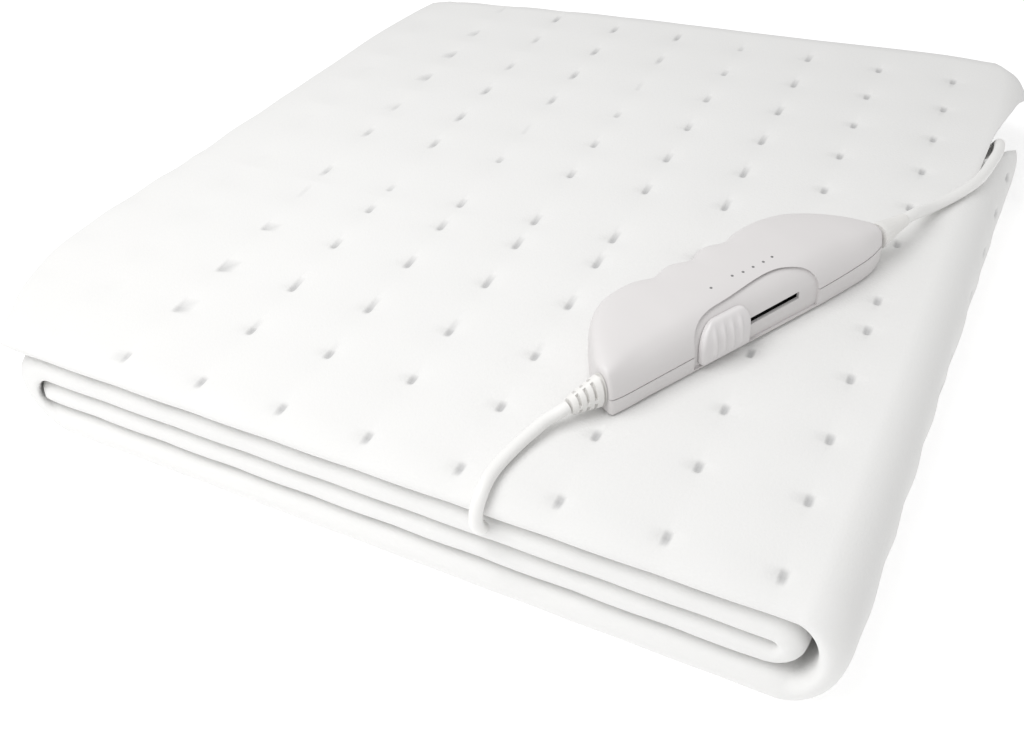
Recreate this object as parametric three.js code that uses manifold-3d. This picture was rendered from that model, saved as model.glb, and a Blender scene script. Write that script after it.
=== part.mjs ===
// Electric underblanket, folded flat, with its hand control lying on top and its mains lead coiled behind.
// Millimetres, +Z up. The origin is on the surface that the blanket lies on, under the middle of the cloth.
// The front of the fold faces -Y, the spine of the roll is at +X and its free end lies on top at -X.
import * as THREE from 'three';
import { mergeVertices } from 'three/addons/utils/BufferGeometryUtils.js';
import Module from 'manifold-3d';

const wasm = await Module();
wasm.setup();

// Driving dimensions of the cloth
const PLY = 4.6; // one thickness of quilted cloth
const STACK_HEIGHT = 51;
const LAYER_GAP = 0.9;
const HEM_ROUND = 1.5;
const FOLD_CREASE = 6; // depth of the crease inside the front fold
const FREE_CLEARANCE = 1.2; // round the free end inside the roll
const TOUCH_GAP = 0.3; // between pieces that touch

// The four layers from the bottom up. `gap` is the space between the two plies, `front` the front fold's
// place, `under` and `over` how far the fold takes to round off below and above, all along Y.
const LAYERS = {
  base: { gap: 4.8, front: -202.5, under: 7, over: 8, hem_back: 2 },
  second: { gap: 1.6, front: -199, under: 6, over: 6, hem_back: 5 },
  third: { gap: 2.8, front: -198, under: 6, over: 6, hem_back: 4 },
  top: { gap: 2.3, front: -197.5, under: 7, over: 14, hem_back: 0 },
};

let height_so_far = 0;
for (const layer of Object.values(LAYERS)) {
  layer.thickness = 2 * PLY + layer.gap;
  layer.middle = height_so_far + layer.thickness / 2;
  height_so_far += layer.thickness + LAYER_GAP;
}
const stack_error = Math.abs(height_so_far - LAYER_GAP - STACK_HEIGHT);
if (stack_error > 1e-6) throw new Error(`the layers are ${stack_error} mm off the stack's height`);

// Plan of the fold: how far left and right each part of the roll reaches at a depth y
const OUTLINE = [
  // y, left edge of the top layer, left edge of the layers below, right edge of the spine, inner turn's edge
  { y: -202, top_left: -176, low_left: -172, right: 188.5, inner_right: 174 },
  { y: -195, top_left: -181.5, low_left: -181, right: 190.3, inner_right: 176 },
  { y: -185, top_left: -188, low_left: -187, right: 191.5, inner_right: 177.5 },
  { y: -155, top_left: -202.2, low_left: -193, right: 193, inner_right: 179 },
  { y: -121, top_left: -205.9, low_left: -195.5, right: 194.5, inner_right: 180.5 },
  { y: -25, top_left: -194.5, low_left: -185.5, right: 198.5, inner_right: 184.5 },
  { y: 45, top_left: -186.5, low_left: -177.5, right: 201.5, inner_right: 186 },
  { y: 84, top_left: -182, low_left: -173, right: 203, inner_right: 181 },
  { y: 115, top_left: -179, low_left: -170, right: 204.8, inner_right: 174.5 },
  { y: 155, top_left: -171.5, low_left: -162.5, right: 205.8, inner_right: 168 },
  { y: 188, top_left: -163, low_left: -154, right: 204.2, inner_right: 160 },
  { y: 197, top_left: -158.5, low_left: -149.5, right: 200.5, inner_right: 157 },
  { y: 203, top_left: -155, low_left: -146, right: 193, inner_right: 155 },
];

// The hems at the back, as the depth that the top layer reaches at a width x
const BACK_EDGE = [
  { x: -200, y: 165 },
  { x: -160, y: 174.5 },
  { x: -50, y: 188.5 },
  { x: 73, y: 196.5 },
  { x: 150, y: 202.5 },
  { x: 182, y: 201.5 },
];

// The hem along the spine. It is set forward there, so a hollow opens under the top layer's back corner.
// `turn` is the angle round the spine, from -90 under it to 90 on top.
const SPINE_HEM = [
  { turn: -90, y: 199.5 },
  { turn: -62, y: 158 },
  { turn: -30, y: 142 },
  { turn: 0, y: 136.5 },
  { turn: 15, y: 136.5 },
  { turn: 28, y: 134.5 },
  { turn: 40, y: 126.5 },
  { turn: 52, y: 118.5 },
  { turn: 60, y: 110.5 },
  { turn: 70, y: 100 },
  { turn: 81, y: 86 },
];
// Behind the hollow's front end the top layer's own edge is free and droops round the spine's shoulder
const HOLLOW_START = 84.5;
const FLAP_EDGE = [
  { y: 122.5, turn: 84 },
  { y: 144.5, turn: 74 },
  { y: 166.5, turn: 58 },
  { y: 184.5, turn: 45 },
  { y: 201.5, turn: 38 },
];
const FLAP_SPREAD = 9; // the angle that the flap's lines share where they start

// The three turns of the roll: how far each bulges sideways, and the space between its plies
const INNER_TURN = { bulge: 6.3, gap: 1.4 };
const WRAP_TURN = { bulge: 12, gap: 3 };
const SPINE_TURN = { bulge: 13, gap: 1.6 };

// A free end thins out like a hem: distance from the end, offset of each ply's middle, share of the ply
const FREE_END = [
  { from_end: 0, offset: 1.25, share: 0.45 },
  { from_end: 2, offset: 2.0, share: 0.8 },
  { from_end: 5, offset: 2.5, share: 1 },
  { from_end: 12, offset: null, share: 1 },
];

// Where the points of a ply lie along its depth, from the front fold (0) to the hem (1)
const OUTER_STEPS = [0, 0.045, 0.11, 0.2, 0.32, 0.45, 0.6, 0.75, 0.87, 0.95, 1];
const INNER_STEPS = [0, 0.11, 0.32, 0.6, 0.87, 1];
const ROLL_STEPS = 4;
const CAP_BOW = 0.02;

// The hand control, in its own frame: s along it, w from its front edge to its back, h above its underside
const CONTROL_PLACE = { x: 85.3, y: -141.5, z: STACK_HEIGHT + TOUCH_GAP, turn: 59.14 };
const CONTROL_LENGTH = 150;
const CONTROL_SECTIONS = [
  // s, front edge, back edge, foot of the front edge, height of the top
  { s: 0, front: 0.8, back: 11.5, foot: 1, top: 20.5 },
  { s: 4, front: 0.2, back: 18.8, foot: 0.5, top: 22 },
  { s: 8, front: 0, back: 25.2, foot: 0.3, top: 22.8 },
  { s: 13, front: 0, back: 32.4, foot: 0.3, top: 23.4 },
  { s: 18, front: 0, back: 37.2, foot: 0.3, top: 23.9 },
  { s: 24, front: 0, back: 40.6, foot: 0.3, top: 24.3 },
  { s: 30, front: 0, back: 41.8, foot: 0.3, top: 24.6 },
  { s: 38, front: 0, back: 42, foot: 0.3, top: 25 },
  { s: 42, front: 0, back: 41.2, foot: 0.3, top: 25 },
  { s: 48, front: 0, back: 39.3, foot: 0.3, top: 25 },
  { s: 58, front: 0, back: 41.6, foot: 0.3, top: 25 },
  { s: 68, front: 0, back: 39, foot: 0.3, top: 25 },
  { s: 77, front: 0, back: 42.3, foot: 0.3, top: 25 },
  { s: 87, front: 0, back: 39.9, foot: 0.3, top: 25 },
  { s: 95, front: 0, back: 42.3, foot: 0.3, top: 25 },
  { s: 106, front: 0, back: 43, foot: 0.3, top: 25 },
  { s: 112, front: 0, back: 42.6, foot: 0.3, top: 24.6 },
  { s: 118, front: 0.2, back: 41.6, foot: 0.4, top: 24.1 },
  { s: 124, front: 0.4, back: 39.5, foot: 0.6, top: 23.5 },
  { s: 130, front: 0.8, back: 35.6, foot: 1, top: 22.9 },
  { s: 136, front: 1.2, back: 30.6, foot: 1.5, top: 22.1 },
  { s: 142, front: 2.2, back: 24.8, foot: 2.8, top: 20.9 },
  { s: 147, front: 3.6, back: 18.8, foot: 5, top: 19.5 },
  { s: CONTROL_LENGTH, front: 4.6, back: 14.6, foot: 8.5, top: 18.6 },
];
// The rounded shoulders: how far in from the edge, and at what share of the height
const FRONT_SHOULDER = [
  { inward: 0, share: 0.36 },
  { inward: 0.35, share: 0.5 },
  { inward: 1, share: 0.6 },
  { inward: 3, share: 0.76 },
  { inward: 6.5, share: 0.9 },
  { inward: 10, share: 0.96 },
];
const BACK_SHOULDER = [
  { inward: 9, share: 0.985 },
  { inward: 5, share: 0.94 },
  { inward: 2.5, share: 0.84 },
  { inward: 0.8, share: 0.68 },
  { inward: 0, share: 0.5 },
];
const FULL_WIDTH = 38;
const BOTTOM_ROUND = 1.5;
const HOUSING_WALL = 2.6;
const SEAM = { start: 8, rise: 3 / CONTROL_LENGTH };
const CHAMBER = { s_from: 38, s_to: 112, w_to: 20, h_to: 19 };
const RECESS_DEPTH = 1.2;
const RECESS_OUTLINE = [
  { s: 40.5, h: 1.8 },
  { s: 107.6, h: 1.8 },
  { s: 107.4, h: 10.9 },
  { s: 105.4, h: 17 },
  { s: 102, h: 20.7 },
  { s: 93, h: 23.4 },
  { s: 60, h: 23 },
  { s: 50, h: 22.4 },
  { s: 45, h: 21 },
  { s: 41.8, h: 18.6 },
  { s: 40.5, h: 15 },
];
const SLOT = { s_from: 61, s_to: 97, height: 3 };
const SWITCH_BLOCK = { s_from: 50, s_to: 106, w_from: 7, w_to: 14, h_to: 17 };

// The thumb slider on the control's front
const SLIDER = {
  s_from: 43,
  s_to: 69,
  h_from: 2.6,
  h_to: 20.4,
  clearance: 0.35,
  outward: 1.6,
  rib_outward: 2.2,
  rib_places: [49.8, 54.2, 58.6, 63],
  rib_width: 1.4,
  rib_from: 5,
  rib_to: 18.4,
  corners: [
    { right: true, high: false, radius: 2.5, from: 270 },
    { right: true, high: true, radius: 5, from: 0 },
    { right: false, high: true, radius: 10, from: 90 },
    { right: false, high: false, radius: 2.5, from: 180 },
  ],
};
const STEM = { s_from: 62, s_to: 66, height: 2.2 };
const SHOE = { s_from: 60, s_to: 70, w_from: 5.05, w_to: 6.6, h_from: 8.2, h_to: 13.4 };

// The strain reliefs, each from its base on the control to its tip, in the control's frame
const BLANKET_RELIEF = {
  base: { s: -TOUCH_GAP - 0.05, w: 6.9, h: 9.8, half_width: 4.7, half_height: 8.3 },
  tip: { s: -13.2, w: 9.2, h: 6.8, half_width: 3.3, half_height: 3.9 },
};
const RELIEF_RINGS = 4;
const RING_GROOVE = 0.9;
const RELIEF_SIDES = 20;
const MAINS_RELIEF = { base: [CONTROL_LENGTH + 0.95, 9.8, 12.2], tip: [170.5, 11.7, 11.4] };
const MAINS_RELIEF_RADII = [
  { share: 0, radius: 5.9 },
  { share: 0.12, radius: 5.8 },
  { share: 0.3, radius: 5.1 },
  { share: 0.6, radius: 4.0 },
  { share: 1, radius: 3.1 },
];

// Leads
const LEAD = 5.2;
const LEAD_SIDES = 10;
const MOUTH_RADIUS = 3.2; // the opening in the third layer where the short lead goes in
const MOUTH_END = [56.9, -192.2, 33.1];
// The short lead, from the ribbed relief over the front edge and into the cloth
const BLANKET_LEAD_ROUTE = [
  [70.25, -148.75, 58.04],
  [69.35, -150.25, 57.8],
  [67.5, -152.7, 57.0],
  [64.9, -156.2, 56.2],
  [62.4, -162, 55.2],
  [60.1, -168.5, 54.5],
  [58.3, -175.5, 54.2],
  [57.1, -182, 54],
  [56.7, -187.2, 53.95],
  [56.8, -191.2, 53.8],
  [57, -194.8, 53],
  [57.0, -197.9, 50.8],
  [56.9, -200.1, 47.5],
  [56.9, -200.9, 43.5],
  [56.9, -200.1, 39.5],
  [56.9, -197.9, 36.1],
  [56.9, -194.6, 33.9],
];
// The mains lead, from its relief along the top, down over the spine's hem and out at the back
const MAINS_LEAD_ROUTE = [
  [162.95, 11.41, 62.68],
  [165, 16.2, 62],
  [167.2, 22.5, 60.2],
  [169.4, 29, 57.8],
  [171.8, 35.5, 55.8],
  [175.3, 43, 54.5],
  [181.3, 54, 54],
  [185.9, 63.5, 53.95],
  [188.8, 72, 53.4],
  [190.6, 80, 52.9],
  [191.9, 88, 52.5],
  [193, 95.5, 52.2],
  [193.9, 102.5, 51.4],
  [194.0, 110.5, 50.2],
  [193.7, 117.5, 48.0],
  [193.3, 124.5, 43.9],
  [192.6, 131.5, 38.6],
  [191.4, 138.5, 32.4],
  [190.1, 145.0, 26.4],
  [188.6, 151.5, 21.3],
  [186.6, 158.5, 18.1],
  [184.1, 166.5, 17.0],
  [180.4, 180.5, 17.0],
  [176.0, 197.0, 17.1],
  [172.2, 212.0, 16.3],
  [169.0, 224.5, 14.8],
];

// The coil of the mains lead, behind the blanket
const COIL = { x: 134.1, y: 238.5, bottom: 1.6, turns_across: 3, turns_high: 3, middle_radius: 27 };
const COIL_SEGMENTS = 40;
const TIE = { angle: 215, width: 4, thickness: 1, clear: 0.5 };
const MAINS_TAIL_ROUTE = [
  [101.5, 256.9, 4.2],
  [96.1, 253.8, 4.3],
  [90.1, 251.0, 4.8],
  [83.6, 248.9, 5.6],
  [77.1, 247.8, 6.4],
  [70.8, 247.5, 7.0],
];

// The plug, with its pins towards -X
const PLUG = { x: 70.5, y: 247.5, relief: 20, length: 36, width: 35, height: 14, nose_width: 26 };
const PIN = { radius: 2, length: 19, spacing: 19 };

const COLOURS = {
  cloth: 0xf3f2ee,
  housing: 0xdad8d3,
  slider: 0xe2e1dc,
  dark: 0x1b1b1c,
  lead: 0xe6e4df,
  tie: 0xf0efeb,
  metal: 0xc9c9c6,
};

// A table's column as a smooth function of another: cubic pieces through the rows
function smooth(rows, key, column, at) {
  const last = rows.length - 1;
  const first = rows[0];
  if (at <= first[key]) return first[column];
  if (at >= rows[last][key]) return rows[last][column];
  const i = rows.findIndex((row, index) => index > 0 && at <= row[key]) - 1;
  const slope = (a, b) => (rows[b][column] - rows[a][column]) / (rows[b][key] - rows[a][key]);
  const from = slope(Math.max(i - 1, 0), i + 1);
  const to = slope(i, Math.min(i + 2, last));
  const span = rows[i + 1][key] - rows[i][key];
  const t = (at - rows[i][key]) / span;
  const start = rows[i][column] * (1 + 2 * t) * (1 - t) ** 2;
  const end = rows[i + 1][column] * t * t * (3 - 2 * t);
  return start + end + span * (from * t * (1 - t) ** 2 - to * t * t * (1 - t));
}

// An outline cut into triangles that all run the same way round as the outline does
function capTriangles(outline) {
  const way = Math.sign(THREE.ShapeUtils.area(outline));
  return THREE.ShapeUtils.triangulateShape(outline, []).map(([a, b, c]) => {
    const area = THREE.ShapeUtils.area([outline[a], outline[b], outline[c]]);
    return Math.sign(area) === way ? [a, b, c] : [a, c, b];
  });
}

// Rings of points joined into one closed body, with a cap at each end
function loft(rings, caps) {
  const count = rings[0].length;
  const positions = rings.flat(2);
  const index = [];
  for (let r = 0; r < rings.length - 1; r += 1) {
    for (let k = 0; k < count; k += 1) {
      const next = (k + 1) % count;
      const [a, b] = [r * count + k, r * count + next];
      index.push(a, b, b + count, a, b + count, a + count);
    }
  }
  const far = (rings.length - 1) * count;
  for (const [a, b, c] of capTriangles(caps[0])) index.push(a, c, b);
  for (const [a, b, c] of capTriangles(caps[1])) index.push(far + a, far + b, far + c);
  const geometry = new THREE.BufferGeometry();
  geometry.setAttribute('position', new THREE.Float32BufferAttribute(positions, 3));
  geometry.setIndex(index);
  return facingOut(geometry);
}

function facingOut(geometry) {
  const p = geometry.attributes.position;
  const index = geometry.index.array;
  const corners = [new THREE.Vector3(), new THREE.Vector3(), new THREE.Vector3()];
  let volume = 0;
  for (let i = 0; i < index.length; i += 3) {
    corners.forEach((corner, k) => corner.fromBufferAttribute(p, index[i + k]));
    volume += corners[0].dot(corners[1].cross(corners[2]));
  }
  if (volume < 0) {
    for (let i = 0; i < index.length; i += 3) {
      [index[i], index[i + 1]] = [index[i + 1], index[i]];
    }
  }
  return geometry;
}

function toSolid(geometry) {
  const plain = geometry.clone();
  plain.deleteAttribute('normal');
  plain.deleteAttribute('uv');
  const merged = mergeVertices(plain, 1e-4);
  const mesh = new wasm.Mesh({
    numProp: 3,
    vertProperties: new Float32Array(merged.attributes.position.array),
    triVerts: new Uint32Array(merged.index.array),
  });
  return new wasm.Manifold(mesh);
}

function toGeometry(solid) {
  const mesh = solid.getMesh();
  const geometry = new THREE.BufferGeometry();
  geometry.setAttribute('position', new THREE.BufferAttribute(mesh.vertProperties, 3));
  geometry.setIndex(new THREE.BufferAttribute(mesh.triVerts, 1));
  geometry.computeVertexNormals();
  return geometry;
}

// The cloth: a doubled ply, swept along the roll

const xAt = (column, y) => smooth(OUTLINE, 'y', column, y);
const backEdge = (x) => smooth(BACK_EDGE, 'x', 'y', x);

// A straight run of a layer, from one of its ends to the other
function run(layer, side, fromX, toX, shares) {
  return shares.map((share) => ({
    gap: layer.gap,
    front: layer.front,
    back: (x) => backEdge(x) - layer.hem_back,
    roll_out: side > 0 ? layer.under : layer.over,
    roll_in: side > 0 ? layer.over : layer.under,
    base: (y) => ({
      x: THREE.MathUtils.lerp(fromX(y), toX(y), share),
      z: layer.middle,
      nx: 0,
      nz: side,
    }),
  }));
}

// A turn of the roll between two layers, always towards the same hand. Each line across it has its angle,
// which may change along the depth, and the place of its hem.
function turn(shape, from, to, side, extreme, lines) {
  const middle = (from.middle + to.middle) / 2;
  const rise = Math.abs(to.middle - from.middle) / 2;
  const reach = shape.bulge + PLY + shape.gap / 2;
  return lines.map(({ angle, back, angleAt }) => {
    const t = (angle + 90) / 180;
    const between = (a, b) => THREE.MathUtils.lerp(a, b, t);
    const toShape = Math.sin(Math.PI * t);
    return {
      gap: THREE.MathUtils.lerp(between(from.gap, to.gap), shape.gap, toShape),
      front: between(from.front, to.front),
      back: back ?? ((x) => backEdge(x) - between(from.hem_back, to.hem_back)),
      roll_out: between(side > 0 ? from.under : from.over, side > 0 ? to.over : to.under),
      roll_in: between(side > 0 ? from.over : from.under, side > 0 ? to.under : to.over),
      base: (y) => {
        const radians = THREE.MathUtils.degToRad(angleAt ? angleAt(y) : angle);
        const [c, s] = [Math.cos(radians), Math.sin(radians)];
        const length = Math.hypot(c / shape.bulge, s / rise);
        return {
          x: extreme(y) + side * (shape.bulge * c - reach),
          z: middle + side * rise * s,
          nx: (-side * c) / shape.bulge / length,
          nz: (-side * s) / rise / length,
        };
      },
    };
  });
}

// The lines of the spine, from under it to the top, and then those that end along the flap's free edge
function spineLines() {
  const band = SPINE_HEM.map(({ turn: angle, y }) => ({ angle, back: () => y }));
  const flap = FLAP_EDGE.map(({ y: end, turn: droop }, i) => {
    const angle = 90 - FLAP_SPREAD * (1 - (i + 1) / (FLAP_EDGE.length + 1));
    const angleAt = (y) => {
      const share = THREE.MathUtils.clamp((y - HOLLOW_START) / (end - HOLLOW_START), 0, 1);
      return THREE.MathUtils.lerp(angle, droop, share ** 2);
    };
    return { angle, angleAt, back: () => end };
  });
  return [...band, ...flap];
}

// The stations of a free end, the outermost first
function freeEnd(layer, side, edge, direction) {
  return FREE_END.map((row) => {
    const x = (y) => edge(y) + direction * row.from_end;
    const station = run(layer, side, x, x, [0])[0];
    station.offset = row.offset;
    station.share = row.share;
    return station;
  });
}

// The ply's outline at one station, as points (y, n): n is the distance from the layer's middle, towards
// the inside of the roll where it is above 0
function plyOutline(station, back) {
  const half_ply = (PLY / 2) * (station.share ?? 1);
  const offset = station.offset ?? station.gap / 2 + PLY / 2;
  const outer = offset + half_ply;
  const inner = offset - half_ply;
  const lip = half_ply / 2;
  const front = station.front;
  const hem = back - HEM_ROUND;
  const crease = front + PLY + FOLD_CREASE;
  const at = (from, step) => THREE.MathUtils.lerp(from, hem, step);
  const roll = (depth, sign, k) => {
    const angle = (k / ROLL_STEPS) * (Math.PI / 2);
    return [front + depth * (1 - Math.cos(angle)), sign * outer * Math.sin(angle)];
  };
  const points = [];
  for (const step of [...OUTER_STEPS].reverse()) points.push([at(front + station.roll_out, step), -outer]);
  for (let k = ROLL_STEPS - 1; k >= 0; k -= 1) points.push(roll(station.roll_out, -1, k));
  for (let k = 1; k < ROLL_STEPS; k += 1) points.push(roll(station.roll_in, 1, k));
  for (const step of OUTER_STEPS) points.push([at(front + station.roll_in, step), outer]);
  points.push([back, outer - lip], [back, inner + lip]);
  for (const step of [...INNER_STEPS].reverse()) points.push([at(crease, step), inner]);
  points.push([crease - FOLD_CREASE * 0.7, inner * 0.7], [crease - FOLD_CREASE, 0]);
  points.push([crease - FOLD_CREASE * 0.7, -inner * 0.7]);
  for (const step of INNER_STEPS) points.push([at(crease, step), -inner]);
  points.push([back, -inner - lip], [back, lip - outer]);
  return points;
}

function blanketGeometry() {
  const { base, second, third, top } = LAYERS;
  const inner_reach = INNER_TURN.bulge + PLY + INNER_TURN.gap / 2;
  const wrap_reach = WRAP_TURN.bulge + PLY + WRAP_TURN.gap / 2;
  const spine_reach = SPINE_TURN.bulge + PLY + SPINE_TURN.gap / 2;
  const inner_right = (y) => xAt('inner_right', y);
  const low_left = (y) => xAt('low_left', y);
  const right = (y) => xAt('right', y);
  const top_left = (y) => xAt('top_left', y);
  const hidden_end = (y) => low_left(y) + 2 * PLY + WRAP_TURN.gap + FREE_CLEARANCE;
  const inner_middle = (y) => inner_right(y) - inner_reach;
  const wrap_middle = (y) => low_left(y) + wrap_reach;
  const spine_middle = (y) => right(y) - spine_reach;
  const end_length = FREE_END[FREE_END.length - 1].from_end;
  const half_turn = [-90, -60, -30, 0, 30, 60, 90].map((angle) => ({ angle }));
  const between = [0.2, 0.5, 0.8];
  const stations = [
    ...freeEnd(second, 1, hidden_end, 1),
    ...run(second, 1, (y) => hidden_end(y) + end_length, inner_middle, between),
    ...turn(INNER_TURN, second, third, 1, inner_right, half_turn),
    ...run(third, -1, inner_middle, wrap_middle, between),
    ...turn(WRAP_TURN, third, base, -1, low_left, half_turn),
    ...run(base, 1, wrap_middle, spine_middle, between),
    ...turn(SPINE_TURN, base, top, 1, right, spineLines()),
    ...run(top, -1, spine_middle, (y) => top_left(y) + end_length, [0, 0.08, 0.3, 0.55, 0.8]),
    ...freeEnd(top, -1, top_left, 1).reverse(),
  ];
  const outlines = stations.map((station) => {
    const back_x = station.base(BACK_EDGE[0].y).x;
    return plyOutline(station, station.back(back_x));
  });
  const rings = stations.map((station, i) =>
    outlines[i].map(([y, n]) => {
      const { x, z, nx, nz } = station.base(y);
      return [x + nx * n, y, z + nz * n];
    }),
  );
  // The caps are cut into triangles on a slightly bowed outline, so that no point on a straight is left out
  const bow = (y) => 1 + CAP_BOW * (1 - (y / BACK_EDGE[0].y) ** 2);
  const cap = (points) => points.map(([y, n]) => new THREE.Vector2(y, n * bow(y)));
  return loft(rings, [cap(outlines[0]), cap(outlines[outlines.length - 1])]);
}

// Leads and other round pieces

function leadGeometry(route, radius, steps) {
  const points = route.map((point) => new THREE.Vector3(...point));
  const curve = new THREE.CatmullRomCurve3(points, false, 'centripetal');
  const section = new THREE.Shape();
  for (let k = 0; k < LEAD_SIDES; k += 1) {
    const angle = (k / LEAD_SIDES) * 2 * Math.PI;
    const corner = [radius * Math.cos(angle), radius * Math.sin(angle)];
    if (k === 0) section.moveTo(...corner);
    else section.lineTo(...corner);
  }
  section.closePath();
  return new THREE.ExtrudeGeometry(section, { steps, extrudePath: curve, bevelEnabled: false });
}

// A turned piece from one point to another: its profile is a list of [share of the length, radius]
function turnedGeometry(from, to, profile, segments) {
  const start = new THREE.Vector3(...from);
  const way = new THREE.Vector3(...to).sub(start);
  const outline = profile.map(([share, radius]) => new THREE.Vector2(radius, share * way.length()));
  const points = [new THREE.Vector2(0, 0), ...outline, new THREE.Vector2(0, way.length())];
  const geometry = new THREE.LatheGeometry(points, segments);
  const up = new THREE.Vector3(0, 1, 0);
  geometry.applyQuaternion(new THREE.Quaternion().setFromUnitVectors(up, way.clone().normalize()));
  geometry.translate(...start.toArray());
  return geometry;
}

function boxGeometry(from, to) {
  const size = to.map((value, axis) => value - from[axis]);
  const geometry = new THREE.BoxGeometry(...size);
  geometry.translate(...from.map((value, axis) => value + size[axis] / 2));
  return geometry;
}

// The hand control, in its own frame

function controlSection(row) {
  const narrow = Math.min(1, (row.back - row.front) / FULL_WIDTH);
  const round = BOTTOM_ROUND * narrow;
  const front_rise = Math.max(round, 1.2 * (row.foot - row.front));
  return [
    [row.foot, 0],
    [row.back - round, 0],
    [row.back, round],
    ...BACK_SHOULDER.map(({ inward, share }) => [row.back - inward * narrow, share * row.top]).reverse(),
    [(row.front + row.back) / 2, row.top],
    ...FRONT_SHOULDER.map(({ inward, share }) => [row.front + inward * narrow, share * row.top]).reverse(),
    [row.front, front_rise],
  ];
}

// A section's outline moved in by a distance, or out where it is below 0
function moveIn(points, distance) {
  const count = points.length;
  return points.map(([w, h], i) => {
    const [w0, h0] = points[(i + count - 1) % count];
    const [w1, h1] = points[(i + 1) % count];
    const before = new THREE.Vector2(-(h - h0), w - w0).normalize();
    const after = new THREE.Vector2(-(h1 - h), w1 - w).normalize();
    const normal = before.clone().add(after).normalize();
    const mitre = 1 / Math.max(normal.dot(before), 0.5);
    return [w + normal.x * distance * mitre, h + normal.y * distance * mitre];
  });
}

function controlLoft(inset, s_from = 0, s_to = CONTROL_LENGTH) {
  const rows = CONTROL_SECTIONS.filter((row) => row.s >= s_from && row.s <= s_to);
  const outlines = rows.map((row) => moveIn(controlSection(row), inset));
  const rings = outlines.map((outline, i) => outline.map(([w, h]) => [rows[i].s, w, h]));
  const cap = (outline) => outline.map(([w, h]) => new THREE.Vector2(w, h));
  return loft(rings, [cap(outlines[0]), cap(outlines[rows.length - 1])]);
}

// A prism with its outline in s and h, that runs along w
function sidePrism(outline, w_from, w_to) {
  const rings = [w_from, w_to].map((w) => outline.map(({ s, h }) => [s, w, h]));
  const cap = outline.map(({ s, h }) => new THREE.Vector2(s, h));
  return toSolid(loft(rings, [cap, cap]));
}

const seamAt = (s) => SEAM.start + SEAM.rise * s;

// All of the control above the seam, or all of it below
function seamSide(sign) {
  const [near, far, reach] = [-40, CONTROL_LENGTH + 40, 80];
  const edge = (s) => ({ s, h: seamAt(s) + (sign * TOUCH_GAP) / 2 });
  const away = (s) => ({ s, h: sign * reach });
  return sidePrism([edge(near), edge(far), away(far), away(near)], -reach, reach);
}

// The space inside for the switch: its front follows the shoulder at the wall's thickness
function chamberSolid() {
  const { s_from, s_to, w_to, h_to } = CHAMBER;
  const row = CONTROL_SECTIONS.find((section) => section.s === s_to);
  const moved = moveIn(controlSection(row), HOUSING_WALL);
  const shoulder = moved.slice(-1 - FRONT_SHOULDER.length, -1);
  const high = shoulder[0][1];
  const outline = [...shoulder, [HOUSING_WALL, 0], [2 * w_to, 0], [2 * w_to, high]];
  const rings = [s_from, s_to].map((s) => outline.map(([w, h]) => [s, w, h]));
  const cap = outline.map(([w, h]) => new THREE.Vector2(w, h));
  const room = boxGeometry([s_from, 0, HOUSING_WALL], [s_to, w_to, h_to]);
  return toSolid(loft(rings, [cap, cap])).intersect(toSolid(room));
}

function controlHalves() {
  const outer = toSolid(controlLoft(0));
  const deep = toSolid(controlLoft(RECESS_DEPTH, CHAMBER.s_from - 10, CHAMBER.s_to + 10));
  const recess = sidePrism(RECESS_OUTLINE, -10, 14).subtract(deep);
  const slot_floor = (s) => ({ s, h: seamAt(s) - 1 });
  const slot_roof = (s) => ({ s, h: seamAt(s) + TOUCH_GAP / 2 + SLOT.height });
  const { s_from, s_to } = SLOT;
  const slot_outline = [slot_floor(s_from), slot_floor(s_to), slot_roof(s_to), slot_roof(s_from)];
  const slot = sidePrism(slot_outline, -10, HOUSING_WALL + 4);
  const shell = outer.subtract(chamberSolid()).subtract(recess);
  return {
    upper: toGeometry(shell.intersect(seamSide(1)).subtract(slot)),
    lower: toGeometry(shell.intersect(seamSide(-1))),
  };
}

function sliderGeometry() {
  const row = CONTROL_SECTIONS.find((section) => section.s === 58);
  const extrusion = (distance) => {
    const outline = moveIn(controlSection(row), distance);
    const rings = [30, 80].map((s) => outline.map(([w, h]) => [s, w, h]));
    const cap = outline.map(([w, h]) => new THREE.Vector2(w, h));
    return toSolid(loft(rings, [cap, cap]));
  };
  const core = extrusion(RECESS_DEPTH - SLIDER.clearance);
  const pad_outline = SLIDER.corners.flatMap(({ right, high, radius, from }) => {
    const s = right ? SLIDER.s_to - radius : SLIDER.s_from + radius;
    const h = high ? SLIDER.h_to - radius : SLIDER.h_from + radius;
    return [0, 30, 60, 90].map((angle) => {
      const radians = THREE.MathUtils.degToRad(from + angle);
      return { s: s + radius * Math.cos(radians), h: h + radius * Math.sin(radians) };
    });
  });
  let slider = extrusion(-SLIDER.outward).subtract(core).intersect(sidePrism(pad_outline, -10, 14));
  const ribbed = extrusion(-SLIDER.rib_outward).subtract(core);
  for (const s of SLIDER.rib_places) {
    const half = SLIDER.rib_width / 2;
    const rib = boxGeometry([s - half, -10, SLIDER.rib_from], [s + half, 14, SLIDER.rib_to]);
    slider = slider.add(ribbed.intersect(toSolid(rib)));
  }
  const slot_middle = seamAt((STEM.s_from + STEM.s_to) / 2) + SLOT.height / 2;
  const stem_low = slot_middle - STEM.height / 2;
  const stem_from = [STEM.s_from, 0, stem_low];
  const stem_to = [STEM.s_to, SHOE.w_from + 0.5, stem_low + STEM.height];
  const shoe_from = [SHOE.s_from, SHOE.w_from, SHOE.h_from];
  const shoe_to = [SHOE.s_to, SHOE.w_to, SHOE.h_to];
  slider = slider.add(toSolid(boxGeometry(stem_from, stem_to)));
  slider = slider.add(toSolid(boxGeometry(shoe_from, shoe_to)));
  return toGeometry(slider);
}

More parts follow.
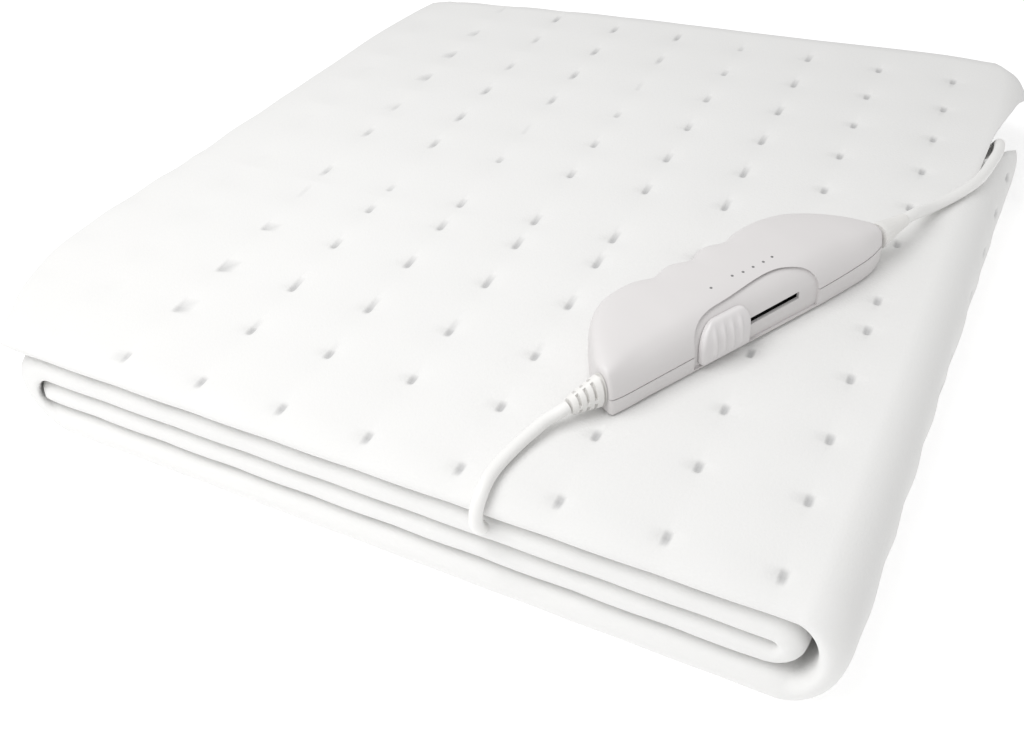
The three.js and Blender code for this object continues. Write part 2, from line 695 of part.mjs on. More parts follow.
function ribbedReliefGeometry() {
  const { base, tip } = BLANKET_RELIEF;
  const pitch = 1 / RELIEF_RINGS;
  const profile = [];
  for (let ring = 0; ring < RELIEF_RINGS; ring += 1) {
    const start = ring * pitch;
    const groove = start + 0.68 * pitch;
    profile.push([start, 0], [groove, 0]);
    if (ring < RELIEF_RINGS - 1) profile.push([groove, RING_GROOVE], [start + pitch, RING_GROOVE]);
  }
  profile.push([1, 0]);
  const rings = profile.map(([share, inward]) => {
    const at = (key) => THREE.MathUtils.lerp(base[key], tip[key], share);
    return Array.from({ length: RELIEF_SIDES }, (_, k) => {
      const angle = (k / RELIEF_SIDES) * 2 * Math.PI;
      const w = at('w') + (at('half_width') - inward) * Math.cos(angle);
      const h = at('h') + (at('half_height') - inward) * Math.sin(angle);
      return [at('s'), w, h];
    });
  });
  const cap = (ring) => ring.map(([, w, h]) => new THREE.Vector2(w, h));
  return loft(rings, [cap(rings[0]), cap(rings[rings.length - 1])]);
}

function mainsReliefGeometry() {
  const profile = MAINS_RELIEF_RADII.map(({ share, radius }) => [share, radius]);
  return turnedGeometry(MAINS_RELIEF.base, MAINS_RELIEF.tip, profile, 20);
}

// The coil and its tie

const coil_half_width = (COIL.turns_across * LEAD) / 2;
const coil_height = COIL.turns_high * LEAD;

function coilGeometry() {
  const [inner, outer] = [COIL.middle_radius - coil_half_width, COIL.middle_radius + coil_half_width];
  const [low, high] = [COIL.bottom, COIL.bottom + coil_height];
  const cut = LEAD / 3;
  const section = [
    [inner + cut, low],
    [outer - cut, low],
    [outer, low + cut],
    [outer, high - cut],
    [outer - cut, high],
    [inner + cut, high],
    [inner, high - cut],
    [inner, low + cut],
    [inner + cut, low],
  ];
  const profile = section.map((point) => new THREE.Vector2(...point));
  const geometry = new THREE.LatheGeometry(profile, COIL_SEGMENTS);
  geometry.rotateX(Math.PI / 2);
  geometry.translate(COIL.x, COIL.y, 0);
  return geometry;
}

// A flat band round the coil's section
function tieGeometry() {
  const inside = { across: coil_half_width + TIE.clear, up: coil_height / 2 + TIE.clear };
  const rectangle = ({ across, up }) => [
    [-across, -up],
    [across, -up],
    [across, up],
    [-across, up],
  ];
  const outside = { across: inside.across + TIE.thickness, up: inside.up + TIE.thickness };
  const shape = new THREE.Shape(rectangle(outside).map((point) => new THREE.Vector2(...point)));
  shape.holes.push(new THREE.Path(rectangle(inside).map((point) => new THREE.Vector2(...point))));
  const geometry = new THREE.ExtrudeGeometry(shape, { depth: TIE.width, bevelEnabled: false });
  geometry.translate(0, 0, -TIE.width / 2);
  geometry.rotateX(Math.PI / 2);
  geometry.translate(COIL.middle_radius, 0, COIL.bottom + coil_height / 2);
  geometry.rotateZ(THREE.MathUtils.degToRad(TIE.angle));
  geometry.translate(COIL.x, COIL.y, 0);
  return geometry;
}

// The plug

function plugBodyGeometry() {
  const start = PLUG.x - PLUG.relief - 2 * TOUCH_GAP;
  const half = PLUG.height / 2;
  const sections = [
    { from_back: 0, width: 14, height: 9 },
    { from_back: 5, width: 20, height: 12 },
    { from_back: 12, width: PLUG.width - 3, height: PLUG.height },
    { from_back: 20, width: PLUG.width, height: PLUG.height },
    { from_back: 30, width: PLUG.width - 2, height: PLUG.height },
    { from_back: PLUG.length, width: PLUG.nose_width + 4, height: PLUG.height - 1 },
  ];
  const corner = 3;
  const outlines = sections.map(({ width, height }) => {
    const [w, h] = [width / 2, height / 2];
    return [
      [w - corner, -h], [w, corner - h], [w, h - corner], [w - corner, h],
      [corner - w, h], [-w, h - corner], [-w, corner - h], [corner - w, -h],
    ];
  });
  const rings = outlines.map((outline, i) =>
    outline.map(([y, z]) => [start - sections[i].from_back, PLUG.y + y, half + z]),
  );
  const cap = (outline) => outline.map(([y, z]) => new THREE.Vector2(y, z));
  return loft(rings, [cap(outlines[0]), cap(outlines[outlines.length - 1])]);
}

function pinGeometry(side) {
  const start = PLUG.x - PLUG.relief - PLUG.length - 3 * TOUCH_GAP;
  const y = PLUG.y + (side * PIN.spacing) / 2;
  const profile = [
    [0, PIN.radius],
    [0.93, PIN.radius],
    [1, PIN.radius * 0.55],
  ];
  const z = PLUG.height / 2;
  return turnedGeometry([start, y, z], [start - PIN.length, y, z], profile, 14);
}

function plugReliefGeometry() {
  const from = [PLUG.x - TOUCH_GAP, PLUG.y, PLUG.height / 2];
  const to = [PLUG.x - TOUCH_GAP - PLUG.relief, PLUG.y, PLUG.height / 2];
  const profile = [
    [0, 3.2],
    [0.4, 3.8],
    [1, 4.4],
  ];
  return turnedGeometry(from, to, profile, 16);
}

// The scene graph

function material(colour, roughness, metalness = 0) {
  return new THREE.MeshStandardMaterial({ color: colour, roughness, metalness });
}

const materials = {
  cloth: material(COLOURS.cloth, 0.95),
  housing: material(COLOURS.housing, 0.5),
  slider: material(COLOURS.slider, 0.45),
  dark: material(COLOURS.dark, 0.4),
  lead: material(COLOURS.lead, 0.55),
  tie: material(COLOURS.tie, 0.5),
  metal: material(COLOURS.metal, 0.25, 1),
};

function piece(name, geometry, finish) {
  const mesh = new THREE.Mesh(geometry, finish);
  mesh.name = name;
  return mesh;
}

function blanketPiece() {
  const over_the_edge = BLANKET_LEAD_ROUTE.slice(-7);
  const mouth = leadGeometry([...over_the_edge, MOUTH_END], MOUTH_RADIUS, 10);
  const cloth = toSolid(blanketGeometry()).subtract(toSolid(mouth));
  return piece('blanket', toGeometry(cloth), materials.cloth);
}

function controlGroup() {
  const group = new THREE.Group();
  const halves = controlHalves();
  const { s_from, s_to, w_from, w_to, h_to } = SWITCH_BLOCK;
  const block = boxGeometry([s_from, w_from, HOUSING_WALL + TOUCH_GAP], [s_to, w_to, h_to]);
  group.add(piece('controller_upper', halves.upper, materials.housing));
  group.add(piece('controller_lower', halves.lower, materials.housing));
  group.add(piece('thumb_slider', sliderGeometry(), materials.slider));
  group.add(piece('switch_block', block, materials.dark));
  group.add(piece('relief_blanket_side', ribbedReliefGeometry(), materials.housing));
  group.add(piece('relief_mains_side', mainsReliefGeometry(), materials.housing));
  group.position.set(CONTROL_PLACE.x, CONTROL_PLACE.y, CONTROL_PLACE.z);
  group.rotation.z = THREE.MathUtils.degToRad(CONTROL_PLACE.turn);
  return group;
}

function leadGroup() {
  const group = new THREE.Group();
  group.add(piece('blanket_lead', leadGeometry(BLANKET_LEAD_ROUTE, LEAD / 2, 20), materials.lead));
  group.add(piece('mains_lead', leadGeometry(MAINS_LEAD_ROUTE, LEAD / 2, 40), materials.lead));
  group.add(piece('mains_coil', coilGeometry(), materials.lead));
  group.add(piece('mains_tail', leadGeometry(MAINS_TAIL_ROUTE, LEAD / 2, 8), materials.lead));
  group.add(piece('coil_tie', tieGeometry(), materials.tie));
  return group;
}

function plugGroup() {
  const group = new THREE.Group();
  group.add(piece('plug_relief', plugReliefGeometry(), materials.lead));
  group.add(piece('plug_body', plugBodyGeometry(), materials.lead));
  group.add(piece('plug_pin_left', pinGeometry(-1), materials.metal));
  group.add(piece('plug_pin_right', pinGeometry(1), materials.metal));
  return group;
}

const underblanket = new THREE.Group();
underblanket.add(blanketPiece(), controlGroup(), leadGroup(), plugGroup());

export default underblanket;
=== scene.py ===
"""Electric underblanket, folded flat, with its hand control on top and its mains lead coiled behind."""

import math

import bpy
import numpy as np
from mathutils import Matrix, Vector


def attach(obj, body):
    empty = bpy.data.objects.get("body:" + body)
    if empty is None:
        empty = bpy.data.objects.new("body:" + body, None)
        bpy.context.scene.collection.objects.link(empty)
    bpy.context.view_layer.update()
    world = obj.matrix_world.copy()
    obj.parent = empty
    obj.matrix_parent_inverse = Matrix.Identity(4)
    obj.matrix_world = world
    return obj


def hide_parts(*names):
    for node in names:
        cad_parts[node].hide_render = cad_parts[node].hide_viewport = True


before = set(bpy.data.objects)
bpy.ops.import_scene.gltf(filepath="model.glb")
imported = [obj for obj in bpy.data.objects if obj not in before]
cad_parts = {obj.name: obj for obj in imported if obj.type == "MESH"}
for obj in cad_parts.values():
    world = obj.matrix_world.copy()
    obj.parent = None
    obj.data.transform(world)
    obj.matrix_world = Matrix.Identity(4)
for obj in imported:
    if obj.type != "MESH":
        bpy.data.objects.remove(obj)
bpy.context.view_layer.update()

# Sizes are in millimetres, and MM turns them into metres
MM = 0.001
TOUCH_GAP = 0.3

# The camera: its place in millimetres, and how it is tilted up from straight down, turned and rolled
CAMERA_PLACE = (182.3, -397.5, 332.9)
CAMERA_TILT = 47.26
CAMERA_TURN = 28.39
CAMERA_ROLL = -4.04
CAMERA_LENS = 36.14
SENSOR_WIDTH = 36
NEAREST_SEEN = 0.01


def add_camera():
    data = bpy.data.cameras.new("photo_camera")
    data.sensor_width = SENSOR_WIDTH
    data.lens = CAMERA_LENS
    data.clip_start = NEAREST_SEEN
    camera = bpy.data.objects.new("photo_camera", data)
    bpy.context.scene.collection.objects.link(camera)
    turned = Matrix.Rotation(math.radians(CAMERA_TURN), 4, "Z")
    tilted = Matrix.Rotation(math.radians(CAMERA_TILT), 4, "X")
    rolled = Matrix.Rotation(math.radians(CAMERA_ROLL), 4, "Z")
    camera.matrix_world = Matrix.Translation(Vector(CAMERA_PLACE) * MM) @ turned @ tilted @ rolled
    bpy.context.scene.camera = camera


# Cords. The routes are those of the CAD model, in millimetres.
LEAD = 5.2
SHORT_LEAD_ROUTE = [
    (70.25, -148.75, 58.04), (69.35, -150.25, 57.8), (67.5, -152.7, 57.0), (64.9, -156.2, 56.2),
    (62.4, -162, 55.2), (60.1, -168.5, 54.5), (58.3, -175.5, 54.2), (57.1, -182, 54),
    (56.7, -187.2, 53.95), (56.8, -191.2, 53.8), (57, -194.8, 53), (57.0, -197.9, 50.8),
    (56.9, -200.1, 47.5), (56.9, -200.9, 43.5), (56.9, -200.1, 39.5), (56.9, -197.9, 36.1),
    (56.9, -194.6, 33.9),
]
MAINS_ROUTE = [
    (162.95, 11.41, 62.68), (165, 16.2, 62), (167.2, 22.5, 60.2), (169.4, 29, 57.8),
    (171.8, 35.5, 55.8), (175.3, 43, 54.5), (181.3, 54, 54), (185.9, 63.5, 53.95),
    (188.8, 72, 53.4), (190.6, 80, 52.9), (191.9, 88, 52.5), (193, 95.5, 52.2),
    (193.9, 102.5, 51.4), (194.0, 110.5, 50.2), (193.7, 117.5, 48.0), (193.3, 124.5, 43.9),
    (192.6, 131.5, 38.6), (191.4, 138.5, 32.4), (190.1, 145.0, 26.4), (188.6, 151.5, 21.3),
    (186.6, 158.5, 18.1), (184.1, 166.5, 17.0), (180.4, 180.5, 17.0), (176.0, 197.0, 17.1),
    (172.2, 212.0, 16.3), (169.0, 224.5, 14.8),
]
TAIL_ROUTE = [
    (101.5, 256.9, 4.2), (96.1, 253.8, 4.3), (90.1, 251.0, 4.8), (83.6, 248.9, 5.6),
    (77.1, 247.8, 6.4), (70.8, 247.5, 7.0),
]
# The coil: its middle, and the slots that its turns take, in leads outwards and leads up
COIL = {"x": 134.1, "y": 238.5, "floor": 4.2, "radius": 27}
COIL_SLOTS = [(0, 2), (-1, 2), (-1, 1), (-1, 0), (0, 0), (0, 1), (1, 1), (1, 0)]
COIL_START = {"angle": 15, "radius": 30.3, "settled": 75}
# Where the lead moves from one slot to the next, in degrees round the coil
COIL_FIRST_MOVE = 285
COIL_MOVE_EVERY = 330
COIL_MOVE_TAKES = 85
COIL_END = 2640
COIL_STEP = 6
LEAD_ROUNDNESS = 6
ROUTE_STEP = {"short": 2, "mains": 3}
SHORTEST_SPAN = 0.001


def smooth_share(value, start, end):
    """0 before start, 1 after end, and a soft step between them."""
    share = np.clip((value - start) / (end - start), 0, 1)
    return share * share * (3 - 2 * share)


def curve_points(span, shares):
    """Points of a centripetal curve through four bends, at shares of the way from the second to the third."""
    before, start, end, after = span
    reach = (max(SHORTEST_SPAN, float(np.linalg.norm(b - a))) for a, b in zip(span, span[1:]))
    first, step, last = (math.sqrt(length) for length in reach)
    leaving = step * ((start - before) / first - (end - before) / (first + step) + (end - start) / step)
    arriving = step * ((end - start) / step - (after - start) / (step + last) + (after - end) / last)
    points = []
    for t in shares:
        held = start * (1 + 2 * t) * (1 - t) ** 2 + end * t * t * (3 - 2 * t)
        points.append(held + leaving * t * (1 - t) ** 2 - arriving * t * t * (1 - t))
    return points


def smooth_path(points, spacing):
    """A centripetal curve through the points, sampled about a spacing apart."""
    given = np.array(points, float)
    ends = [2 * given[0] - given[1], *given, 2 * given[-1] - given[-2]]
    path = []
    for span in zip(ends, ends[1:], ends[2:], ends[3:]):
        count = max(1, round(np.linalg.norm(span[2] - span[1]) / spacing))
        path.extend(curve_points(span, np.linspace(0, 1, count, endpoint=False)))
    return [*path, given[-1]]


def coil_path():
    """The coil's turns as one line, from where the lead comes in to where the tail leaves."""
    path = []
    for angle in range(COIL_START["angle"], COIL_END + 1, COIL_STEP):
        across, up = COIL_SLOTS[0]
        for i, (next_across, next_up) in enumerate(COIL_SLOTS[1:]):
            middle = COIL_FIRST_MOVE + i * COIL_MOVE_EVERY
            share = smooth_share(angle, middle - COIL_MOVE_TAKES / 2, middle + COIL_MOVE_TAKES / 2)
            across += share * (next_across - across)
            up += share * (next_up - up)
        radius = COIL["radius"] + across * LEAD
        settled = smooth_share(angle, COIL_START["angle"], COIL_START["settled"])
        radius += (1 - settled) * (COIL_START["radius"] - radius)
        turn = math.radians(angle)
        x, y = COIL["x"] + radius * math.cos(turn), COIL["y"] + radius * math.sin(turn)
        path.append((x, y, COIL["floor"] + up * LEAD))
    return path


def lead_curve(name, path):
    """A round lead along a path. The points' radius sets its thickness, because a curve's box reaches so far
    out from its points."""
    data = bpy.data.curves.new(name, "CURVE")
    data.dimensions = "3D"
    data.bevel_depth = 1
    data.bevel_resolution = LEAD_ROUNDNESS
    data.use_fill_caps = True
    spline = data.splines.new("POLY")
    spline.points.add(len(path) - 1)
    for point, place in zip(spline.points, path):
        point.co = (*(np.array(place) * MM), 1)
        point.radius = LEAD / 2 * MM
    lead = bpy.data.objects.new(name, data)
    bpy.context.scene.collection.objects.link(lead)
    return lead


# Meshes
def mesh_object(name, points, faces):
    """A new mesh from points in millimetres."""
    mesh = bpy.data.meshes.new(name)
    mesh.from_pydata((np.array(points, float) * MM).tolist(), [], faces)
    made = bpy.data.objects.new(name, mesh)
    bpy.context.scene.collection.objects.link(made)
    return made


def ring_faces(rings, count):
    """Faces that join rings of points into a closed body, with a cap at each end."""
    faces = [
        (r * count + k, r * count + (k + 1) % count, (r + 1) * count + (k + 1) % count, (r + 1) * count + k)
        for r in range(rings - 1) for k in range(count)
    ]
    last = (rings - 1) * count
    return [*faces, tuple(range(count))[::-1], tuple(range(last, last + count))]


def activate(made):
    bpy.ops.object.select_all(action="DESELECT")
    made.select_set(True)
    bpy.context.view_layer.objects.active = made


def outward(made):
    """Turns a closed body's faces outwards."""
    activate(made)
    bpy.ops.object.mode_set(mode="EDIT")
    bpy.ops.mesh.select_all(action="SELECT")
    bpy.ops.mesh.normals_make_consistent(inside=False)
    bpy.ops.object.mode_set(mode="OBJECT")
    return made


def cut(made, cutter, operation="DIFFERENCE"):
    """Cuts a body with another, which is then gone."""
    activate(made)
    change = made.modifiers.new("cut", "BOOLEAN")
    change.operation = operation
    change.solver = "EXACT"
    change.object = cutter
    bpy.ops.object.modifier_apply(modifier=change.name)
    bpy.data.objects.remove(cutter)
    return made


def smoothed(made, degrees):
    activate(made)
    bpy.ops.object.shade_smooth_by_angle(angle=math.radians(degrees))
    return made


# The cloth: a doubled ply, swept along the roll. Its tables are those of the CAD model.
PLY = 4.6
LAYER_GAP = 0.9
HEM_ROUND = 1.5
FOLD_CREASE = 6
FREE_CLEARANCE = 1.2
CREASE_SHARE = 0.7
ROLLED_UNDER_SHARE = 0.5 # how much of the outside's dimples the rolled underside of the front carries
LAYERS = {
    "base": {"gap": 4.8, "front": -202.5, "under": 7, "over": 8, "hem_back": 2},
    "second": {"gap": 1.6, "front": -199, "under": 6, "over": 6, "hem_back": 5},
    "third": {"gap": 2.8, "front": -198, "under": 6, "over": 6, "hem_back": 4},
    "top": {"gap": 2.3, "front": -197.5, "under": 7, "over": 14, "hem_back": 0},
}
# Plan of the fold at a depth y: the left edge of the top layer and of those below, and the right edge of the
# spine and of the inner turn
OUTLINE = {
    "y": (-202, -195, -185, -155, -121, -25, 45, 84, 115, 155, 188, 197, 203),
    "top_left": (-176, -181.5, -188, -202.2, -205.9, -194.5, -186.5, -182, -179, -171.5, -163, -158.5, -155),
    "low_left": (-172, -181, -187, -193, -195.5, -185.5, -177.5, -173, -170, -162.5, -154, -149.5, -146),
    "right": (188.5, 190.3, 191.5, 193, 194.5, 198.5, 201.5, 203, 204.8, 205.8, 204.2, 200.5, 193),
    "inner_right": (174, 176, 177.5, 179, 180.5, 184.5, 186, 181, 174.5, 168, 160, 157, 155),
}
BACK_EDGE = {"x": (-200, -160, -50, 73, 150, 182), "y": (165, 174.5, 188.5, 196.5, 202.5, 201.5)}
SPINE_HEM = {
    "turn": (-90, -62, -30, 0, 15, 28, 40, 52, 60, 70, 81),
    "y": (199.5, 158, 142, 136.5, 136.5, 134.5, 126.5, 118.5, 110.5, 100, 86),
}
# The free edge of the flap behind the hollow: the last column is the top layer's own hem
HOLLOW_START = 84.5
FLAP_EDGE = {
    "line": (-1, 0, 1, 2, 3, 4, 5),
    "y": (86, 122.5, 144.5, 166.5, 184.5, 201.5, 202.3),
    "turn": (81, 80.3, 70, 57.5, 36, 26, 90),
}
FLAP_SPREAD = 9
FLAP_POWER = 3
INNER_TURN = {"bulge": 6.3, "gap": 1.4}
WRAP_TURN = {"bulge": 12, "gap": 3}
SPINE_TURN = {"bulge": 13, "gap": 1.6}
# Lines at a free end: the distance from its edge, the ply's offset from the middle, and the share of the
# ply's thickness
FREE_END = [(0, 1.25, 0.45), (0.8, 1.6, 0.62), (2, 2.0, 0.8), (5, 2.5, 1), (12, None, 1)]
INNER_STEPS = (0, 0.11, 0.32, 0.6, 0.87, 1)
UNDER_STEPS = (0, 0.03, 0.08, 0.16, 0.28, 0.42, 0.58, 0.74, 0.88, 0.96, 1)
ROLL_STEPS = 10
# The sweep's lines along each run, with the margin at the run's ends, and round each turn
RUN_LINES = {"second": (40, 0.03), "third": (50, 0.03), "base": (56, 0.02)}
TURN_LINES = 13
SPINE_TURN_END = 81
SPINE_TURN_LINES = 34
FLAP_LINES = [*np.linspace(-1, 4, 17)[1:], 4.12, 4.25, 4.4, 4.55, 4.7, 4.85]

# The bond marks of the quilting stand in rows and columns, each in a soft dimple
MARK_COLUMN_START = -196.3
MARK_COLUMN_STEP = 39.9
MARK_COLUMNS = 10
MARK_ROWS = (-185.5, -151, -119.4, -84.6, -53.3, -32.8, 10.8, 41.7, 74.9, 107.4, 140, 172.5)
# Half of a mark's size, across the columns and along them, and of its dimple's
MARK_HALF = (1.3, 2.5)
MARK_RIM = (0.55, 1.45)
MARK_DEPTH = 1.3
DIMPLE_HALF = (9, 12)
DIMPLE_DEPTH = 1.1
MARK_ACROSS_LINES = (-2, -1.25, -0.6, 0, 0.6, 1.25, 2)
MARK_ALONG_LINES = (-4, -3, -2, -0.9, 0.9, 2, 3, 4)
MARKED_DEPTH = (-183.5, 200.0)
WIDEST_STEP = 7
MARKS_FADE = (-165, -95) # the marks are faint along the free end
TOP_STRAIGHT = (-100, 166) # between these the top layer's lines run straight along the depth


def smooth(keys, values, at):
    """A table's column as a smooth function of another: cubic pieces through the rows."""
    keys, values, at = np.array(keys, float), np.array(values, float), np.clip(at, keys[0], keys[-1])
    rows = range(len(keys))
    after = [min(i + 1, len(keys) - 1) for i in rows]
    before = [max(i - 1, 0) for i in rows]
    slopes = (values[after] - values[before]) / (keys[after] - keys[before])
    i = np.clip(np.searchsorted(keys, at) - 1, 0, len(keys) - 2)
    span = keys[i + 1] - keys[i]
    t = (at - keys[i]) / span
    held = values[i] * (1 + 2 * t) * (1 - t) ** 2 + values[i + 1] * t * t * (3 - 2 * t)
    return held + span * (slopes[i] * t * (1 - t) ** 2 - slopes[i + 1] * t * t * (1 - t))


def fine_lines(marks, offsets, first, last, widest=WIDEST_STEP):
    """Places from first to last, close together at each mark and no further apart than the widest step."""
    placed = sorted({first, last, *(m + o for m in marks for o in offsets if first < m + o < last)})
    lines = []
    for start, end in zip(placed, placed[1:]):
        lines.extend(np.linspace(start, end, math.ceil((end - start) / widest), endpoint=False))
    return np.array([*lines, last])


def edge_at(column):
    return lambda y: smooth(OUTLINE["y"], OUTLINE[column], y)


def back_edge(x):
    return float(smooth(BACK_EDGE["x"], BACK_EDGE["y"], x))


def run(layer, side, from_x, to_x, shares):
    """A straight run of a layer, from one of its ends to the other."""
    stations = []
    for share in shares:
        def base(y, share=share):
            x = from_x(y) + (to_x(y) - from_x(y)) * share
            return x, np.full_like(x, layer["middle"]), np.zeros_like(x), np.full_like(x, side)

        stations.append({
            "gap": layer["gap"], "front": layer["front"], "back": None, "hem_back": layer["hem_back"],
            "roll_out": layer["under" if side > 0 else "over"],
            "roll_in": layer["over" if side > 0 else "under"], "base": base,
        })
    return stations


def run_top(layer, lines, right_end, left_end):
    """The top layer's run, with its lines straight along the depth but near its two ends."""
    right_0, left_0 = (float(edge(np.array(0.0))) for edge in (right_end, left_end))
    stations = []
    for line in lines:
        right_share = float(smooth_share(line, TOP_STRAIGHT[1], right_0))
        left_share = float(1 - smooth_share(line, left_0, TOP_STRAIGHT[0]))

        def place(y, line=line, right_share=right_share, left_share=left_share):
            return line + right_share * (right_end(y) - right_0) + left_share * (left_end(y) - left_0)

        stations.extend(run(layer, -1, place, place, [0]))
    return stations


def turn(shape, start, end, side, extreme, lines):
    """A turn of the roll between two layers. Each line has its angle, which may change along the depth, and
    the place of its hem."""
    middle = (start["middle"] + end["middle"]) / 2
    rise = abs(end["middle"] - start["middle"]) / 2
    reach = shape["bulge"] + PLY + shape["gap"] / 2
    entering, leaving = ("under", "over") if side > 0 else ("over", "under")
    stations = []
    for angle, back, angle_at in lines:
        t = (angle + 90) / 180

        def between(a, b, t=t):
            return a + (b - a) * t

        def base(y, angle=angle, angle_at=angle_at):
            turned = np.radians(np.full_like(y, angle) if angle_at is None else angle_at(y))
            c, s = np.cos(turned), np.sin(turned)
            length = np.hypot(c / shape["bulge"], s / rise)
            x = extreme(y) + side * (shape["bulge"] * c - reach)
            z = middle + side * rise * s
            return x, z, -side * c / shape["bulge"] / length, -side * s / rise / length

        gap = between(start["gap"], end["gap"])
        stations.append({
            "gap": gap + (shape["gap"] - gap) * math.sin(math.pi * t),
            "front": between(start["front"], end["front"]),
            "back": back,
            "hem_back": between(start["hem_back"], end["hem_back"]),
            "roll_out": between(start[entering], end[leaving]),
            "roll_in": between(start[leaving], end[entering]),
            "base": base,
        })
    return stations


def spine_lines():
    """The lines of the spine, from under it to the top, then those that end along the flap's free edge."""
    angles = np.linspace(-90, SPINE_TURN_END, SPINE_TURN_LINES)
    lines = [(angle, float(smooth(SPINE_HEM["turn"], SPINE_HEM["y"], angle)), None) for angle in angles]
    first, last = FLAP_EDGE["line"][0], FLAP_EDGE["line"][-1]
    for line in FLAP_LINES:
        start = 90 - FLAP_SPREAD * (1 - (line - first) / (last - first))
        end = float(np.interp(line, FLAP_EDGE["line"], FLAP_EDGE["y"]))
        droop = float(np.interp(line, FLAP_EDGE["line"], FLAP_EDGE["turn"]))

        def angle_at(y, start=start, end=end, droop=droop):
            share = np.clip((y - HOLLOW_START) / (end - HOLLOW_START), 0, 1)
            return start + (droop - start) * share ** FLAP_POWER

        lines.append((start, end, angle_at))
    return lines


def free_end(layer, side, edge, direction):
    """The stations of a free end, the outermost first."""
    stations = []
    for from_end, offset, share in FREE_END:
        def place(y, from_end=from_end):
            return edge(y) + direction * from_end

        station = run(layer, side, place, place, [0])[0]
        stations.append({**station, "offset": offset, "share": share})
    return stations


def ply_outline(station, back, steps):
    """The ply's outline at one station, as places along the depth and from the layer's middle, with the way
    into the cloth at each, and how much of the outside's shape each carries."""
    half_ply = PLY / 2 * station.get("share", 1)
    offset = station.get("offset")
    offset = station["gap"] / 2 + PLY / 2 if offset is None else offset
    outer, inner, lip = offset + half_ply, offset - half_ply, half_ply / 2
    front, hem = station["front"], back - HEM_ROUND
    crease = front + PLY + FOLD_CREASE
    rows = []

    def add(y, n, in_y=0.0, in_n=0.0, outside=0.0):
        rows.append((y, n, in_y, in_n, outside))

    def roll(depth, sign, k):
        angle = k / ROLL_STEPS * math.pi / 2
        way = Vector((math.cos(angle) / depth, -sign * math.sin(angle) / outer)).normalized()
        y, n = front + depth * (1 - math.cos(angle)), sign * outer * math.sin(angle)
        add(y, n, way.x, way.y, 1 if sign < 0 else ROLLED_UNDER_SHARE)

    start_out, start_in = front + station["roll_out"], front + station["roll_in"]
    for step in steps[::-1]:
        add(start_out + (hem - start_out) * step, -outer, 0, 1, 1)
    for k in range(ROLL_STEPS - 1, -1, -1):
        roll(station["roll_out"], -1, k)
    for k in range(1, ROLL_STEPS):
        roll(station["roll_in"], 1, k)
    for step in UNDER_STEPS:
        add(start_in + (hem - start_in) * step, outer)
    add(back, outer - lip)
    add(back, inner + lip)
    for step in INNER_STEPS[::-1]:
        add(crease + (hem - crease) * step, inner)
    add(crease - FOLD_CREASE * CREASE_SHARE, inner * CREASE_SHARE)
    add(crease - FOLD_CREASE, 0)
    add(crease - FOLD_CREASE * CREASE_SHARE, -inner * CREASE_SHARE)
    for step in INNER_STEPS:
        add(crease + (hem - crease) * step, -inner)
    add(back, -inner - lip)
    add(back, lip - outer)
    return np.array(rows).T


def run_shares(name):
    lines, margin = RUN_LINES[name]
    return np.linspace(margin, 1 - margin, lines)


def cloth_stations():
    """The sweep's stations along the whole roll, from the hidden free end to the one on top."""
    height = 0
    for layer in LAYERS.values():
        thickness = 2 * PLY + layer["gap"]
        layer["middle"] = height + thickness / 2
        height += thickness + LAYER_GAP
    base, second, third, top = (LAYERS[name] for name in ("base", "second", "third", "top"))
    inner_reach, wrap_reach, spine_reach = (
        shape["bulge"] + PLY + shape["gap"] / 2 for shape in (INNER_TURN, WRAP_TURN, SPINE_TURN)
    )
    right, low_left, top_left, inner_right = (
        edge_at(column) for column in ("right", "low_left", "top_left", "inner_right")
    )

    def hidden_end(y):
        return low_left(y) + 2 * PLY + WRAP_TURN["gap"] + FREE_CLEARANCE

    def inner_middle(y):
        return inner_right(y) - inner_reach

    def wrap_middle(y):
        return low_left(y) + wrap_reach

    def spine_middle(y):
        return right(y) - spine_reach

    end_length = FREE_END[-1][0]
    half_turn = [(angle, None, None) for angle in np.linspace(-90, 90, TURN_LINES)]
    top_from, top_to = float(spine_middle(np.array(0.0))), float(top_left(np.array(0.0))) + end_length
    columns = [MARK_COLUMN_START + MARK_COLUMN_STEP * j for j in range(MARK_COLUMNS)]
    top_lines = fine_lines(columns, MARK_ACROSS_LINES, top_to, top_from)[::-1]
    return [
        *free_end(second, 1, hidden_end, 1),
        *run(second, 1, lambda y: hidden_end(y) + end_length, inner_middle, run_shares("second")),
        *turn(INNER_TURN, second, third, 1, inner_right, half_turn),
        *run(third, -1, inner_middle, wrap_middle, run_shares("third")),
        *turn(WRAP_TURN, third, base, -1, low_left, half_turn),
        *run(base, 1, wrap_middle, spine_middle, run_shares("base")),
        *turn(SPINE_TURN, base, top, 1, right, spine_lines()),
        *run_top(top, top_lines[:-1], spine_middle, lambda y: top_left(y) + end_length),
        *free_end(top, -1, top_left, 1)[::-1],
    ]


def near_mark(u, y):
    """How far in a place lies in the nearest bond mark's pit and in the dimple round it, from 0 to 1."""
    across = (u - MARK_COLUMN_START + MARK_COLUMN_STEP / 2) % MARK_COLUMN_STEP - MARK_COLUMN_STEP / 2
    rows = np.array(MARK_ROWS)
    along = y - rows[np.abs(y[..., None] - rows).argmin(axis=-1)]
    reach = ((across / MARK_HALF[0]) ** 4 + (along / MARK_HALF[1]) ** 4) ** 0.25
    dimple = np.exp(-((across / DIMPLE_HALF[0]) ** 2) - (along / DIMPLE_HALF[1]) ** 2)
    return 1 - smooth_share(reach, *MARK_RIM), dimple


